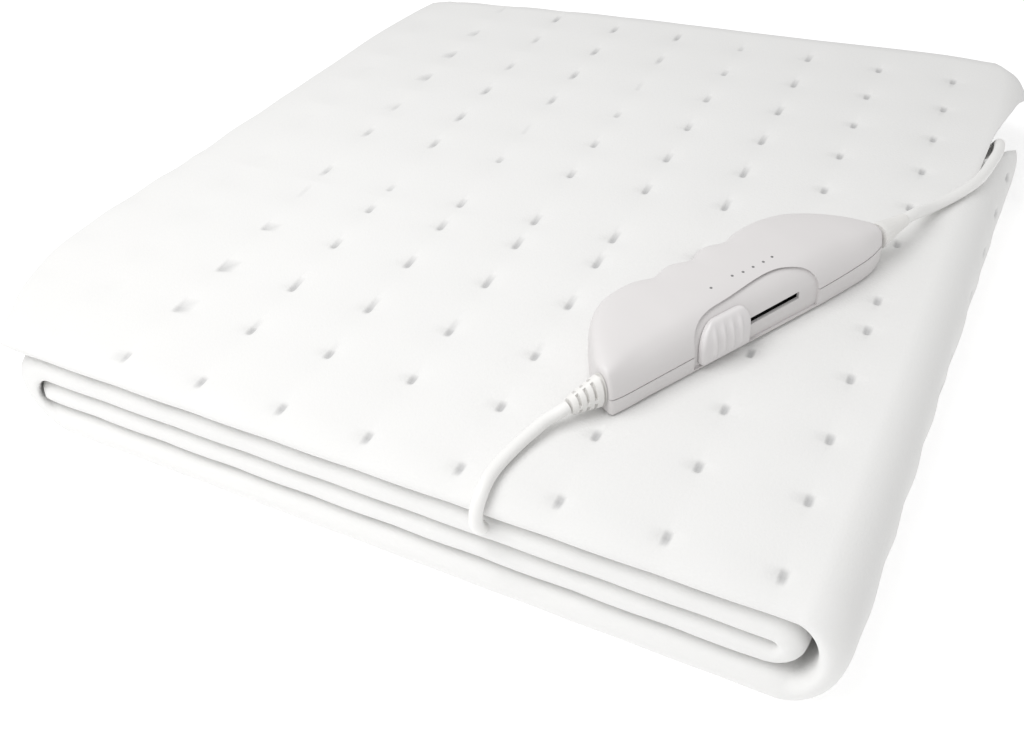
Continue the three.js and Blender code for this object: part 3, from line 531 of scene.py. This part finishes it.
def cloth_mesh():
    """The folded cloth as rings of its doubled ply, joined along the roll."""
    stations = cloth_stations()
    steps = fine_lines(MARK_ROWS, MARK_ALONG_LINES, *MARKED_DEPTH)
    steps = (steps - steps[0]) / (steps[-1] - steps[0])
    top = next(i for i, station in enumerate(stations) if station["front"] == LAYERS["top"]["front"])
    bases = [station["base"](np.array([0.0])) for station in stations]
    gone = (math.hypot(b[0][0] - a[0][0], b[1][0] - a[1][0]) for a, b in zip(bases, bases[1:]))
    lengths = np.cumsum([0, *gone])
    rings, marks = [], []
    for i, station in enumerate(stations):
        back = station["back"]
        if back is None:
            x0 = station["base"](np.array([BACK_EDGE["y"][0]], float))[0][0]
            back = back_edge(x0) - station["hem_back"]
        y, n, in_y, in_n, outside = ply_outline(station, back, steps)
        x, z, nx, nz = station["base"](y)
        across = x if i >= top else stations[top]["base"](y)[0] + lengths[top] - lengths[i]
        pit, dimple = near_mark(across, y)
        pit = pit * smooth_share(across, *MARKS_FADE)
        lowered = outside * (MARK_DEPTH * pit + DIMPLE_DEPTH * dimple)
        y, n = y + in_y * lowered, n + in_n * lowered
        rings.append(np.stack([x + nx * n, y, z + nz * n], axis=1))
        marks.append(pit * outside)
    blanket = mesh_object("cloth", np.concatenate(rings), ring_faces(len(rings), len(rings[0])))
    mark = blanket.data.attributes.new("mark", "FLOAT", "POINT")
    mark.data.foreach_set("value", np.concatenate(marks).astype(np.float32))
    blanket.data.shade_smooth()
    return outward(blanket)


# The hand control in its own frame: s along it, w from its front edge to its back, h above its underside
CONTROL_PLACE = (85.3, -141.5, 51.3)
CONTROL_TURN = 59.14
CONTROL_FRAME = (
    Matrix.Translation(Vector(CONTROL_PLACE) * MM) @ Matrix.Rotation(math.radians(CONTROL_TURN), 4, "Z")
)
CONTROL_LENGTH = 150
CONTROL_COLUMNS = ("s", "front", "back", "foot", "top")
CONTROL_SECTIONS = [
    (0, 0.8, 11.5, 1, 20.5), (4, 0.2, 18.8, 0.5, 22), (8, 0, 25.2, 0.3, 22.8), (13, 0, 32.4, 0.3, 23.4),
    (18, 0, 37.2, 0.3, 23.9), (24, 0, 40.6, 0.3, 24.3), (30, 0, 41.8, 0.3, 24.6), (38, 0, 42, 0.3, 25),
    (42, 0, 41.2, 0.3, 25), (48, 0, 39.3, 0.3, 25), (58, 0, 41.6, 0.3, 25), (68, 0, 39, 0.3, 25),
    (77, 0, 42.3, 0.3, 25), (87, 0, 39.9, 0.3, 25), (95, 0, 42.3, 0.3, 25), (106, 0, 43, 0.3, 25),
    (112, 0, 42.6, 0.3, 24.6), (118, 0.2, 41.6, 0.4, 24.1), (124, 0.4, 39.5, 0.6, 23.5),
    (130, 0.8, 35.6, 1, 22.9), (136, 1.2, 30.6, 1.5, 22.1), (142, 2.2, 24.8, 2.8, 20.9),
    (147, 3.6, 18.8, 5, 19.5), (150, 4.6, 14.6, 8.5, 18.6),
]
# The shoulders of its outline, as places in from the side and shares of the height
FRONT_SHOULDER = [(0, 0.36), (0.35, 0.5), (1, 0.6), (3, 0.76), (6.5, 0.9), (10, 0.96)]
BACK_SHOULDER = [(9, 0.985), (5, 0.94), (2.5, 0.84), (0.8, 0.68), (0, 0.5)]
FULL_WIDTH = 38
BOTTOM_ROUND = 1.5
BOTTOM_EASE = 0.3
FOOT_RISE = 1.2
FOOT_END = 0.4
BODY_STEP = 2
OUTLINE_SHARES = (0, 1 / 3, 2 / 3)
END_EASE = [(0, 0.9), (0.25, 0.4), (0.9, 0)] # how far the ends are drawn in, at places from them
SEAM_START = 8
SEAM_RISE = 3 / CONTROL_LENGTH
SEAM_GROOVE = {"half": 0.32, "depth": 0.9}
GROOVED_POINTS = {"below_back": 18, "over": 52, "below_front": 14}
# What is cut into the housing: the slider's recess and the slot, in s and h, and the chamber, in w and h
RECESS_DEPTH = 1.2
RECESS_SPACING = 1.5
RECESS_W = (-9, 14)
RECESS_FLOOR_S = (20, 130)
RECESS = [
    (40.5, 1.8), (107.6, 1.8), (107.4, 10.9), (105.4, 17), (102, 20.7), (93, 23.4), (60, 23), (50, 22.4),
    (45, 21), (41.8, 18.6), (40.5, 15),
]
SLOT_CUT = {"s": (61, 97), "height": 3, "w": (-9, 6.6)}
CHAMBER_S = (45, 111)
CHAMBER_OUTLINE = [
    (2.5, 3.5), (20, 3.5), (20, 17.4), (6.6, 17.4), (6.6, 14.6), (4.6, 14.6), (4.6, 13.2), (2.7, 13.2),
]
# The slider's pad, and its stem and shoe as ranges of s, w and h
SLIDER = {
    "s": (43, 69), "h": (2.6, 20.4), "low_corner": 2.5, "left_corner": 10, "right_corner": 5,
    "edge": 1.5, "inset": -0.85, "outward": 1.6, "ribs": (49.8, 54.2, 58.6, 63), "rib_half": 1.05,
    "rib_outward": 0.75, "rib_start": (4, 7), "rib_stop": (15, 19), "back": 0.02,
}
SLIDER_SECTION_S = 58
SLIDER_FRONT = {"w_to": 14, "h_from": 1.5}
PAD_EDGE_HEIGHTS = (0, 0.15, 0.4, 0.8, 1.3)
PAD_EDGE_SHARES = (0, 0.006, 0.02, 0.04, 0.07)
PAD_MIDDLE_HEIGHTS = {"margin": 2, "count": 22}
PAD_MIDDLE_SHARES = {"margin": 0.1, "count": 64}
STEM = ((62, 66), (0, 5.5), (9.68, 11.88))
SHOE = ((60, 70), (5.05, 6.6), (8.2, 13.4))
# The ribbed strain relief. Its bridges are the places round it that no slot crosses.
RELIEF = {
    "base": {"s": -0.35, "w": 6.9, "h": 9.8, "half_width": 4.7, "half_height": 8.3},
    "tip": {"s": -13.2, "w": 9.2, "h": 6.8, "half_width": 3.3, "half_height": 3.9},
    "first_slot": -4.5, "slot_every": 3.0, "slots": 3, "slot_half": 0.5, "slot_ease": 0.12, "slot_depth": 1.7,
    "neck": -1.05, "neck_half": 0.45, "neck_depth": 1.5, "bridges": (90, 185, 270, 0), "bridge_half": (8, 11),
    "tip_round": {"depth": 0.5, "length": 0.9, "line": 0.3}, "base_round": {"depth": 0.25, "length": 0.25},
    "turn_step": 7,
}
# The level dots, as places in s and w on the control's top
LEVEL_DOTS = [(60, 14.7), (71.7, 15.4), (76.9, 14.7), (82.3, 14.7), (87.8, 14.7), (92.9, 15)]
LEVEL_DOT_RADIUS = 0.62
LEVEL_DOT_FLATNESS = 0.25
LEVEL_DOT_LINES = (16, 8)
CONTROL_HALF_HEIGHT = 12
# Edges sharper than this, in degrees, stay sharp
SHARP_EDGE = {"shell": 30, "slider": 50, "relief": 40, "dots": 35}


def in_place(made):
    """Moves a piece's mesh from the control's frame to its place."""
    made.data.transform(CONTROL_FRAME)
    return made


def control_row(s):
    table = dict(zip(CONTROL_COLUMNS, zip(*CONTROL_SECTIONS)))
    return [float(smooth(table["s"], table[column], s)) for column in CONTROL_COLUMNS[1:]]


def control_outline(s, inset=0):
    """The control's outline at s, as points (w, h), moved in by a distance."""
    front, back, foot, top = control_row(s)
    narrow = min(1, (back - front) / FULL_WIDTH)
    corner = BOTTOM_ROUND * narrow
    eased = BOTTOM_EASE * corner
    front_rise = max(corner, FOOT_RISE * (foot - front))
    bends = [
        (foot + corner, 0), (back - corner, 0), (back - eased, eased), (back, corner),
        *[(back - inward * narrow, share * top) for inward, share in reversed(BACK_SHOULDER)],
        ((front + back) / 2, top),
        *[(front + inward * narrow, share * top) for inward, share in reversed(FRONT_SHOULDER)],
        (front, front_rise + FOOT_END),
        (front + BOTTOM_EASE * (foot + corner - front), BOTTOM_EASE * front_rise),
    ]
    count = len(bends)
    points = []
    for i in range(count):
        span = [np.array(bends[(i + k) % count]) for k in (-1, 0, 1, 2)]
        points.extend(curve_points(span, OUTLINE_SHARES))
    points = np.array(points)
    along = np.roll(points, -1, axis=0) - np.roll(points, 1, axis=0)
    into = np.stack([-along[:, 1], along[:, 0]], axis=1)
    return points + into / np.linalg.norm(into, axis=1)[:, None] * inset


def control_body():
    """The control's whole body, with its ends eased and the seam's groove round it."""
    middle = [(s, 0) for s in np.linspace(0, CONTROL_LENGTH, CONTROL_LENGTH // BODY_STEP + 1)[1:-1]]
    far_end = [(CONTROL_LENGTH - from_end, inset) for from_end, inset in reversed(END_EASE)]
    places = [*END_EASE, *middle, *far_end]
    return swept("control_body", [(s, grooved(control_outline(s, inset), s)) for s, inset in places])


def recess_floor():
    """The body inside the control that the recess is cut down to."""
    start, end = RECESS_FLOOR_S
    places = np.linspace(start, end, (end - start) // BODY_STEP + 1)
    return swept("recess_floor", [(s, control_outline(s, RECESS_DEPTH)) for s in places])


def swept(name, outlines):
    """A body through outlines in w and h, each at its place along the control."""
    rings = [[(s, w, h) for w, h in outline] for s, outline in outlines]
    return outward(mesh_object(name, np.concatenate(rings), ring_faces(len(rings), len(rings[0]))))


def side_prism(name, outline, w_from, w_to):
    """A prism with its outline in s and h, that runs along w."""
    rings = [[(s, w, h) for s, h in outline] for w in (w_from, w_to)]
    return outward(mesh_object(name, np.concatenate(rings), ring_faces(2, len(outline))))


def seam_at(s):
    return SEAM_START + SEAM_RISE * s


def recess_outline():
    """The recess that the slider runs in, with its upper edge rounded off."""
    path = smooth_path([(s, h, 0) for s, h in [*RECESS[1:], RECESS[0]]], RECESS_SPACING)
    return [(float(p[0]), float(p[1])) for p in path]


def spread(points, count):
    """A line of points placed anew, evenly along it."""
    along = np.array([0, *np.cumsum(np.linalg.norm(np.diff(points, axis=0), axis=1))])
    places = np.linspace(0, along[-1], count)
    return np.stack([np.interp(places, along, points[:, 0]), np.interp(places, along, points[:, 1])], axis=1)


def grooved(outline, s):
    """The control's outline at s with the seam's groove on both of its sides."""
    low, high = seam_at(s) - SEAM_GROOVE["half"], seam_at(s) + SEAM_GROOVE["half"]
    top = int(outline[:, 1].argmax())
    back, front = outline[: top + 1], outline[top:]
    corners = {}
    for name, side in (("back", back), ("front", front[::-1])):
        for height in (low, high):
            corners[name, height] = (float(np.interp(height, side[:, 1], side[:, 0])), height)
    way = {"back": -1, "front": 1}
    parts = []
    for name, first, second in (("back", low, high), ("front", high, low)):
        edge = [corners[name, first], corners[name, second]]
        deep = [(w + way[name] * SEAM_GROOVE["depth"], h) for w, h in edge]
        parts.append([edge[0], *deep, edge[1]])
    below_back = np.array([*back[back[:, 1] < low], parts[0][0]])
    over_front = front[1:][front[1:, 1] > high]
    over = np.array([parts[0][3], *back[back[:, 1] > high], *over_front, parts[1][0]])
    below_front = np.array([parts[1][3], *front[front[:, 1] < low], outline[0]])
    return np.concatenate([
        spread(below_back, GROOVED_POINTS["below_back"]), parts[0][1:3],
        spread(over, GROOVED_POINTS["over"]), parts[1][1:3],
        spread(below_front, GROOVED_POINTS["below_front"])[:-1],
    ])


def control_shell():
    """The two moulded halves: one body with the seam's groove round it, the slider's recess and the slot."""
    shell = control_body()
    recess = side_prism("recess", recess_outline(), *RECESS_W)
    cut(shell, cut(recess, recess_floor()))
    start, end = SLOT_CUT["s"]
    low, high = -TOUCH_GAP / 2, TOUCH_GAP / 2 + SLOT_CUT["height"]
    slot = [(start, low), (end, low), (end, high), (start, high)]
    cut(shell, side_prism("slot", [(s, seam_at(s) + h) for s, h in slot], *SLOT_CUT["w"]))
    cut(shell, swept("chamber", [(s, CHAMBER_OUTLINE) for s in CHAMBER_S]))
    shell.name = "control_shell"
    return in_place(smoothed(shell, SHARP_EDGE["shell"]))


def slider_side(h):
    """The slider pad's left and right edges at a height, with its corners rounded."""
    left, right = SLIDER["s"]
    low, high = SLIDER["h"]

    def drawn_in(corner, from_corner):
        radius = SLIDER[corner]
        inside = max(0, radius - from_corner)
        return radius - math.sqrt(max(0, radius * radius - inside * inside))

    low_in = drawn_in("low_corner", h - low)
    left_in = max(low_in, drawn_in("left_corner", high - h))
    right_in = max(low_in, drawn_in("right_corner", high - h))
    return left + left_in, right - right_in


def pad_faces(rows, columns):
    """Faces of a pad of two grids of points, front and back, that are joined round their border."""
    count = rows * columns
    faces = []
    for r in range(rows - 1):
        for k in range(columns - 1):
            a = r * columns + k
            quad = (a, a + 1, a + columns + 1, a + columns)
            faces.extend([quad, tuple(count + corner for corner in quad[::-1])])
    border = [
        *range(columns), *[r * columns + columns - 1 for r in range(1, rows)],
        *[(rows - 1) * columns + k for k in range(columns - 2, -1, -1)],
        *[r * columns for r in range(rows - 2, 0, -1)],
    ]
    return [*faces, *((b, a, count + a, count + b) for a, b in zip(border, [*border[1:], border[0]]))]


def pad_rise(s, h, left, right):
    """How far the slider's pad stands out at a place on it: its rounded edge and its soft ribs."""
    low, high = SLIDER["h"]
    eased = min(1, max(0, min(s - left, right - s, h - low, high - h) / SLIDER["edge"]))
    out = SLIDER["inset"] + (SLIDER["outward"] - SLIDER["inset"]) * math.sqrt(1 - (1 - eased) ** 2)
    fade = float(smooth_share(h, *SLIDER["rib_start"]) * (1 - smooth_share(h, *SLIDER["rib_stop"])))
    for place in SLIDER["ribs"]:
        out += SLIDER["rib_outward"] * fade * math.exp(-(((s - place) / SLIDER["rib_half"]) ** 2))
    return out


def thumb_slider():
    """The slider: a pad that follows the control's front shoulder, with soft ribs, and its stem and shoe."""
    outline = control_outline(SLIDER_SECTION_S)
    front = outline[(outline[:, 0] < SLIDER_FRONT["w_to"]) & (outline[:, 1] > SLIDER_FRONT["h_from"])]
    front = front[np.argsort(front[:, 1])]
    low, high = SLIDER["h"]
    edge, margin = np.array(PAD_EDGE_HEIGHTS), PAD_MIDDLE_HEIGHTS["margin"]
    middle = np.linspace(low + margin, high - margin, PAD_MIDDLE_HEIGHTS["count"])
    heights = np.unique(np.concatenate([low + edge, middle, high - edge]))
    edge, margin = np.array(PAD_EDGE_SHARES), PAD_MIDDLE_SHARES["margin"]
    middle = np.linspace(margin, 1 - margin, PAD_MIDDLE_SHARES["count"])
    shares = np.unique(np.concatenate([edge, middle, 1 - edge]))
    outer, inner = [], []
    for h in heights:
        below, w, above = np.interp([h - 0.5, h, h + 0.5], front[:, 1], front[:, 0])
        way = Vector((-1, above - below)).normalized()
        left, right = slider_side(h)
        for share in shares:
            s = left + (right - left) * share
            out, back = pad_rise(s, h, left, right), SLIDER["inset"] - SLIDER["back"]
            outer.append((s, w + way.x * out, h + way.y * out))
            inner.append((s, w + way.x * back, h + way.y * back))
    pad = outward(mesh_object("slider_pad", [*outer, *inner], pad_faces(len(heights), len(shares))))
    for s, w, h in (STEM, SHOE):
        box = side_prism("slider_stem", [(s[0], h[0]), (s[1], h[0]), (s[1], h[1]), (s[0], h[1])], *w)
        cut(pad, box, "UNION")
    return in_place(smoothed(pad, SHARP_EDGE["slider"]))


def relief_cuts():
    """The relief's slots and its neck: middle, half of the width, depth, and whether bridges cross it."""
    slots = [
        (RELIEF["first_slot"] - i * RELIEF["slot_every"], RELIEF["slot_half"], RELIEF["slot_depth"], True)
        for i in range(RELIEF["slots"])
    ]
    return [*slots, (RELIEF["neck"], RELIEF["neck_half"], RELIEF["neck_depth"], False)]


def relief_places(cuts):
    """Where along the relief its rings stand: at its rounded ends and at the edges of each cut."""
    base, tip, ease = RELIEF["base"]["s"], RELIEF["tip"]["s"], RELIEF["slot_ease"]
    places = {
        base, base - RELIEF["base_round"]["length"],
        tip, tip + RELIEF["tip_round"]["line"], tip + RELIEF["tip_round"]["length"],
    }
    for middle, half, _, _ in cuts:
        places.update((middle - half - ease, middle - half, middle + half, middle + half + ease))
    return sorted((s for s in places if tip <= s <= base), reverse=True)


def relief_angles():
    """The places round the relief, close together at the sides of its bridges."""
    clear, full = RELIEF["bridge_half"]
    edges = sorted({bridge + side for bridge in RELIEF["bridges"] for side in (-full, -clear, clear, full)})
    angles = []
    for start, end in zip(edges, [*edges[1:], edges[0] + 360]):
        count = max(1, math.ceil((end - start) / RELIEF["turn_step"]))
        angles.extend(np.linspace(start, end, count, endpoint=False))
    return angles


def ribbed_relief():
    """The strain relief at the short lead's end: a flattened cone with slots cut round it."""
    base, tip, ease = RELIEF["base"], RELIEF["tip"], RELIEF["slot_ease"]
    tip_round, base_round = RELIEF["tip_round"], RELIEF["base_round"]
    cuts = relief_cuts()
    angles = relief_angles()
    rings = []
    for s in relief_places(cuts):
        share = (s - base["s"]) / (tip["s"] - base["s"])
        w, h, half_w, half_h = (
            base[size] + (tip[size] - base[size]) * share for size in ("w", "h", "half_width", "half_height")
        )
        rounding = tip_round["depth"] * (1 - smooth_share(s - tip["s"], 0, tip_round["length"]))
        rounding += base_round["depth"] * (1 - smooth_share(base["s"] - s, 0, base_round["length"]))
        ring = []
        for angle in angles:
            off = min(abs((angle - bridge + 180) % 360 - 180) for bridge in RELIEF["bridges"])
            depth = 0
            for middle, half, deep, bridged in cuts:
                cut_here = deep * (smooth_share(off, *RELIEF["bridge_half"]) if bridged else 1)
                depth = max(depth, cut_here * (1 - smooth_share(abs(s - middle), half, half + ease)))
            way = math.radians(angle)
            inward = depth + rounding
            ring.append((s, w + (half_w - inward) * math.cos(way), h + (half_h - inward) * math.sin(way)))
        rings.append(ring)
    made = outward(mesh_object("ribbed_relief", np.concatenate(rings), ring_faces(len(rings), len(angles))))
    return in_place(smoothed(made, SHARP_EDGE["relief"]))


def level_dots():
    """The row of small dots that the slider's settings stand at."""
    around, up = LEVEL_DOT_LINES
    dots = []
    for s, w in LEVEL_DOTS:
        outline = control_outline(s)
        over = outline[outline[:, 1] > CONTROL_HALF_HEIGHT][::-1]
        top = float(np.interp(w, over[:, 0], over[:, 1]))
        bpy.ops.mesh.primitive_uv_sphere_add(
            segments=around, ring_count=up, radius=LEVEL_DOT_RADIUS * MM, location=Vector((s, w, top)) * MM,
            scale=(1, 1, LEVEL_DOT_FLATNESS),
        )
        bpy.ops.object.transform_apply(location=True, rotation=True, scale=True)
        dots.append(bpy.context.object)
    activate(dots[0])
    for dot in dots:
        dot.select_set(True)
    bpy.ops.object.join()
    joined = bpy.context.object
    joined.name = "level_dots"
    return in_place(smoothed(joined, SHARP_EDGE["dots"]))


# Materials. Each finish has its colour, its roughness and the size and height of its grain. The tone changes
# softly over patches.
PLAIN_PATCH = 25
PLAIN_TONE = 0.04
FINISHES = {
    "cloth": {
        "colour": (0.8, 0.797, 0.788), "roughness": 0.95, "grain": 1.1, "height": 0.12,
        "patch": 60, "tone": 0.03, "mark_colour": (0.52, 0.52, 0.52),
    },
    "moulded_housing": {"colour": (0.7, 0.68, 0.677), "roughness": 0.45, "grain": 0.35, "height": 0.012},
    "moulded_slider": {"colour": (0.74, 0.72, 0.72), "roughness": 0.42, "grain": 0.35, "height": 0.01},
    "flexible_relief": {"colour": (0.79, 0.78, 0.76), "roughness": 0.5, "grain": 0.4, "height": 0.01},
    "lead_jacket": {"colour": (0.84, 0.835, 0.82), "roughness": 0.45, "grain": 0.6, "height": 0.01},
    "printed_dot": {"colour": (0.2, 0.2, 0.2), "roughness": 0.6, "grain": 0.3, "height": 0.002},
}
GRAIN_SOCKETS = [
    ("Grain size", "INPUT", "NodeSocketFloat"),
    ("Grain height", "INPUT", "NodeSocketFloat"),
    ("Patch size", "INPUT", "NodeSocketFloat"),
    ("Tone change", "INPUT", "NodeSocketFloat"),
    ("Colour", "INPUT", "NodeSocketColor"),
    ("Colour", "OUTPUT", "NodeSocketColor"),
    ("Normal", "OUTPUT", "NodeSocketVector"),
]
NOISE_DETAIL = {"Grain size": 3, "Patch size": 2}


def combine(group, operation, first, second):
    """A Math node's output. Each of its inputs is a number or another node's output."""
    node = group.nodes.new("ShaderNodeMath")
    node.operation = operation
    for socket, value in zip(node.inputs, (first, second)):
        if isinstance(value, (int, float)):
            socket.default_value = value
        else:
            group.links.new(value, socket)
    return node.outputs[0]


def surface_grain():
    """A fine unevenness of a surface and a soft change of its tone, both fixed to the piece."""
    group = bpy.data.node_groups.new("surface_grain", "ShaderNodeTree")
    for name, way, kind in GRAIN_SOCKETS:
        group.interface.new_socket(name, in_out=way, socket_type=kind)
    nodes, links = group.nodes, group.links
    given, out = nodes.new("NodeGroupInput"), nodes.new("NodeGroupOutput")
    place = nodes.new("ShaderNodeTexCoord").outputs["Object"]
    noises = {}
    for name, detail in NOISE_DETAIL.items():
        noise = nodes.new("ShaderNodeTexNoise")
        noise.inputs["Detail"].default_value = detail
        links.new(place, noise.inputs["Vector"])
        links.new(combine(group, "DIVIDE", 1, given.outputs[name]), noise.inputs["Scale"])
        noises[name] = noise.outputs["Fac"]
    bump = nodes.new("ShaderNodeBump")
    bump.inputs["Strength"].default_value = 1
    links.new(given.outputs["Grain height"], bump.inputs["Distance"])
    links.new(noises["Grain size"], bump.inputs["Height"])
    links.new(bump.outputs["Normal"], out.inputs["Normal"])
    centred = combine(group, "SUBTRACT", noises["Patch size"], 0.5)
    change = combine(group, "MULTIPLY", centred, given.outputs["Tone change"])
    shaded = nodes.new("ShaderNodeVectorMath")
    shaded.operation = "SCALE"
    links.new(given.outputs["Colour"], shaded.inputs[0])
    links.new(combine(group, "ADD", change, 1), shaded.inputs["Scale"])
    links.new(shaded.outputs[0], out.inputs["Colour"])
    return group


def finish_of(name, grain_group):
    """A material with the shared grain, and with the bond marks' colour where it has one."""
    row = FINISHES[name]
    material = bpy.data.materials.new(name)
    material.use_nodes = True
    nodes, links = material.node_tree.nodes, material.node_tree.links
    shader = nodes["Principled BSDF"]
    shader.inputs["Roughness"].default_value = row["roughness"]
    grain = nodes.new("ShaderNodeGroup")
    grain.node_tree = grain_group
    grain.inputs["Grain size"].default_value = row["grain"] * MM
    grain.inputs["Grain height"].default_value = row["height"] * MM
    grain.inputs["Patch size"].default_value = row.get("patch", PLAIN_PATCH) * MM
    grain.inputs["Tone change"].default_value = row.get("tone", PLAIN_TONE)
    grain.inputs["Colour"].default_value = (*row["colour"], 1)
    if "mark_colour" in row:
        mark = nodes.new("ShaderNodeAttribute")
        mark.attribute_name = "mark"
        mixed = nodes.new("ShaderNodeMix")
        mixed.data_type = "RGBA"
        mixed.inputs["A"].default_value = (*row["colour"], 1)
        mixed.inputs["B"].default_value = (*row["mark_colour"], 1)
        links.new(mark.outputs["Fac"], mixed.inputs["Factor"])
        links.new(mixed.outputs["Result"], grain.inputs["Colour"])
    links.new(grain.outputs["Colour"], shader.inputs["Base Color"])
    links.new(grain.outputs["Normal"], shader.inputs["Normal"])
    return material


grain_group = surface_grain()
finishes = {name: finish_of(name, grain_group) for name in FINISHES}

add_camera()
cloth = cloth_mesh()
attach(cloth, "blanket")
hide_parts("blanket")
shell = control_shell()
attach(shell, "blanket")
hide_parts("controller_upper", "controller_lower")
slider = thumb_slider()
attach(slider, "slider")
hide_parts("thumb_slider")
relief = ribbed_relief()
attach(relief, "blanket")
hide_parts("relief_blanket_side")
dots = level_dots()
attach(dots, "blanket")
short_lead = lead_curve("short_lead", smooth_path(SHORT_LEAD_ROUTE, ROUTE_STEP["short"]))
mains_path = smooth_path([*MAINS_ROUTE, *coil_path(), *TAIL_ROUTE], ROUTE_STEP["mains"])
mains_cord = lead_curve("mains_cord", mains_path)
for cord, nodes in (
    (short_lead, ["blanket_lead"]), (mains_cord, ["mains_lead", "mains_coil", "mains_tail"]),
):
    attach(cord, "blanket")
    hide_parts(*nodes)
for piece, name in (
    (cloth, "cloth"), (shell, "moulded_housing"), (slider, "moulded_slider"), (relief, "flexible_relief"),
    (dots, "printed_dot"), (short_lead, "lead_jacket"), (mains_cord, "lead_jacket"),
):
    piece.data.materials.clear()
    piece.data.materials.append(finishes[name])
for node in ("relief_mains_side", "plug_relief", "plug_body", "coil_tie"):
    bpy.data.objects[node].material_slots[0].material = finishes["flexible_relief"]


# The studio, in metres
SKY_STRENGTH = 0.66
KEY_LIGHT = {"place": (-0.2, -0.36, 0.72), "aim": (-0.02, -0.1, 0), "size": 0.5, "power": 3.5}
FLOOR = {"size": 8, "colour": (0.98, 0.98, 0.98, 1), "roughness": 0.9, "glow": 0.3}
WHITE = (1, 1, 1, 1)


def add_sky():
    world = bpy.data.worlds.new("studio")
    bpy.context.scene.world = world
    world.use_nodes = True
    background = world.node_tree.nodes["Background"]
    background.inputs["Color"].default_value = WHITE
    background.inputs["Strength"].default_value = SKY_STRENGTH


def add_key_light():
    """A soft light above the front left of the blanket."""
    data = bpy.data.lights.new("key", "AREA")
    data.shape = "SQUARE"
    data.size = KEY_LIGHT["size"]
    data.energy = KEY_LIGHT["power"]
    light = bpy.data.objects.new("key", data)
    way = Vector(KEY_LIGHT["aim"]) - Vector(KEY_LIGHT["place"])
    light.rotation_euler = way.to_track_quat("-Z", "Y").to_euler()
    light.location = KEY_LIGHT["place"]
    bpy.context.scene.collection.objects.link(light)


def add_floor():
    """A white floor that glows a little, so that it fades into a white background."""
    bpy.ops.mesh.primitive_plane_add(size=FLOOR["size"])
    floor = bpy.context.object
    floor.name = "floor"
    material = bpy.data.materials.new("floor")
    material.use_nodes = True
    shader = material.node_tree.nodes["Principled BSDF"]
    shader.inputs["Base Color"].default_value = FLOOR["colour"]
    shader.inputs["Roughness"].default_value = FLOOR["roughness"]
    shader.inputs["Emission Color"].default_value = WHITE
    shader.inputs["Emission Strength"].default_value = FLOOR["glow"]
    floor.data.materials.append(material)


add_sky()
add_key_light()
add_floor()
bpy.context.scene.view_settings.view_transform = "Standard"
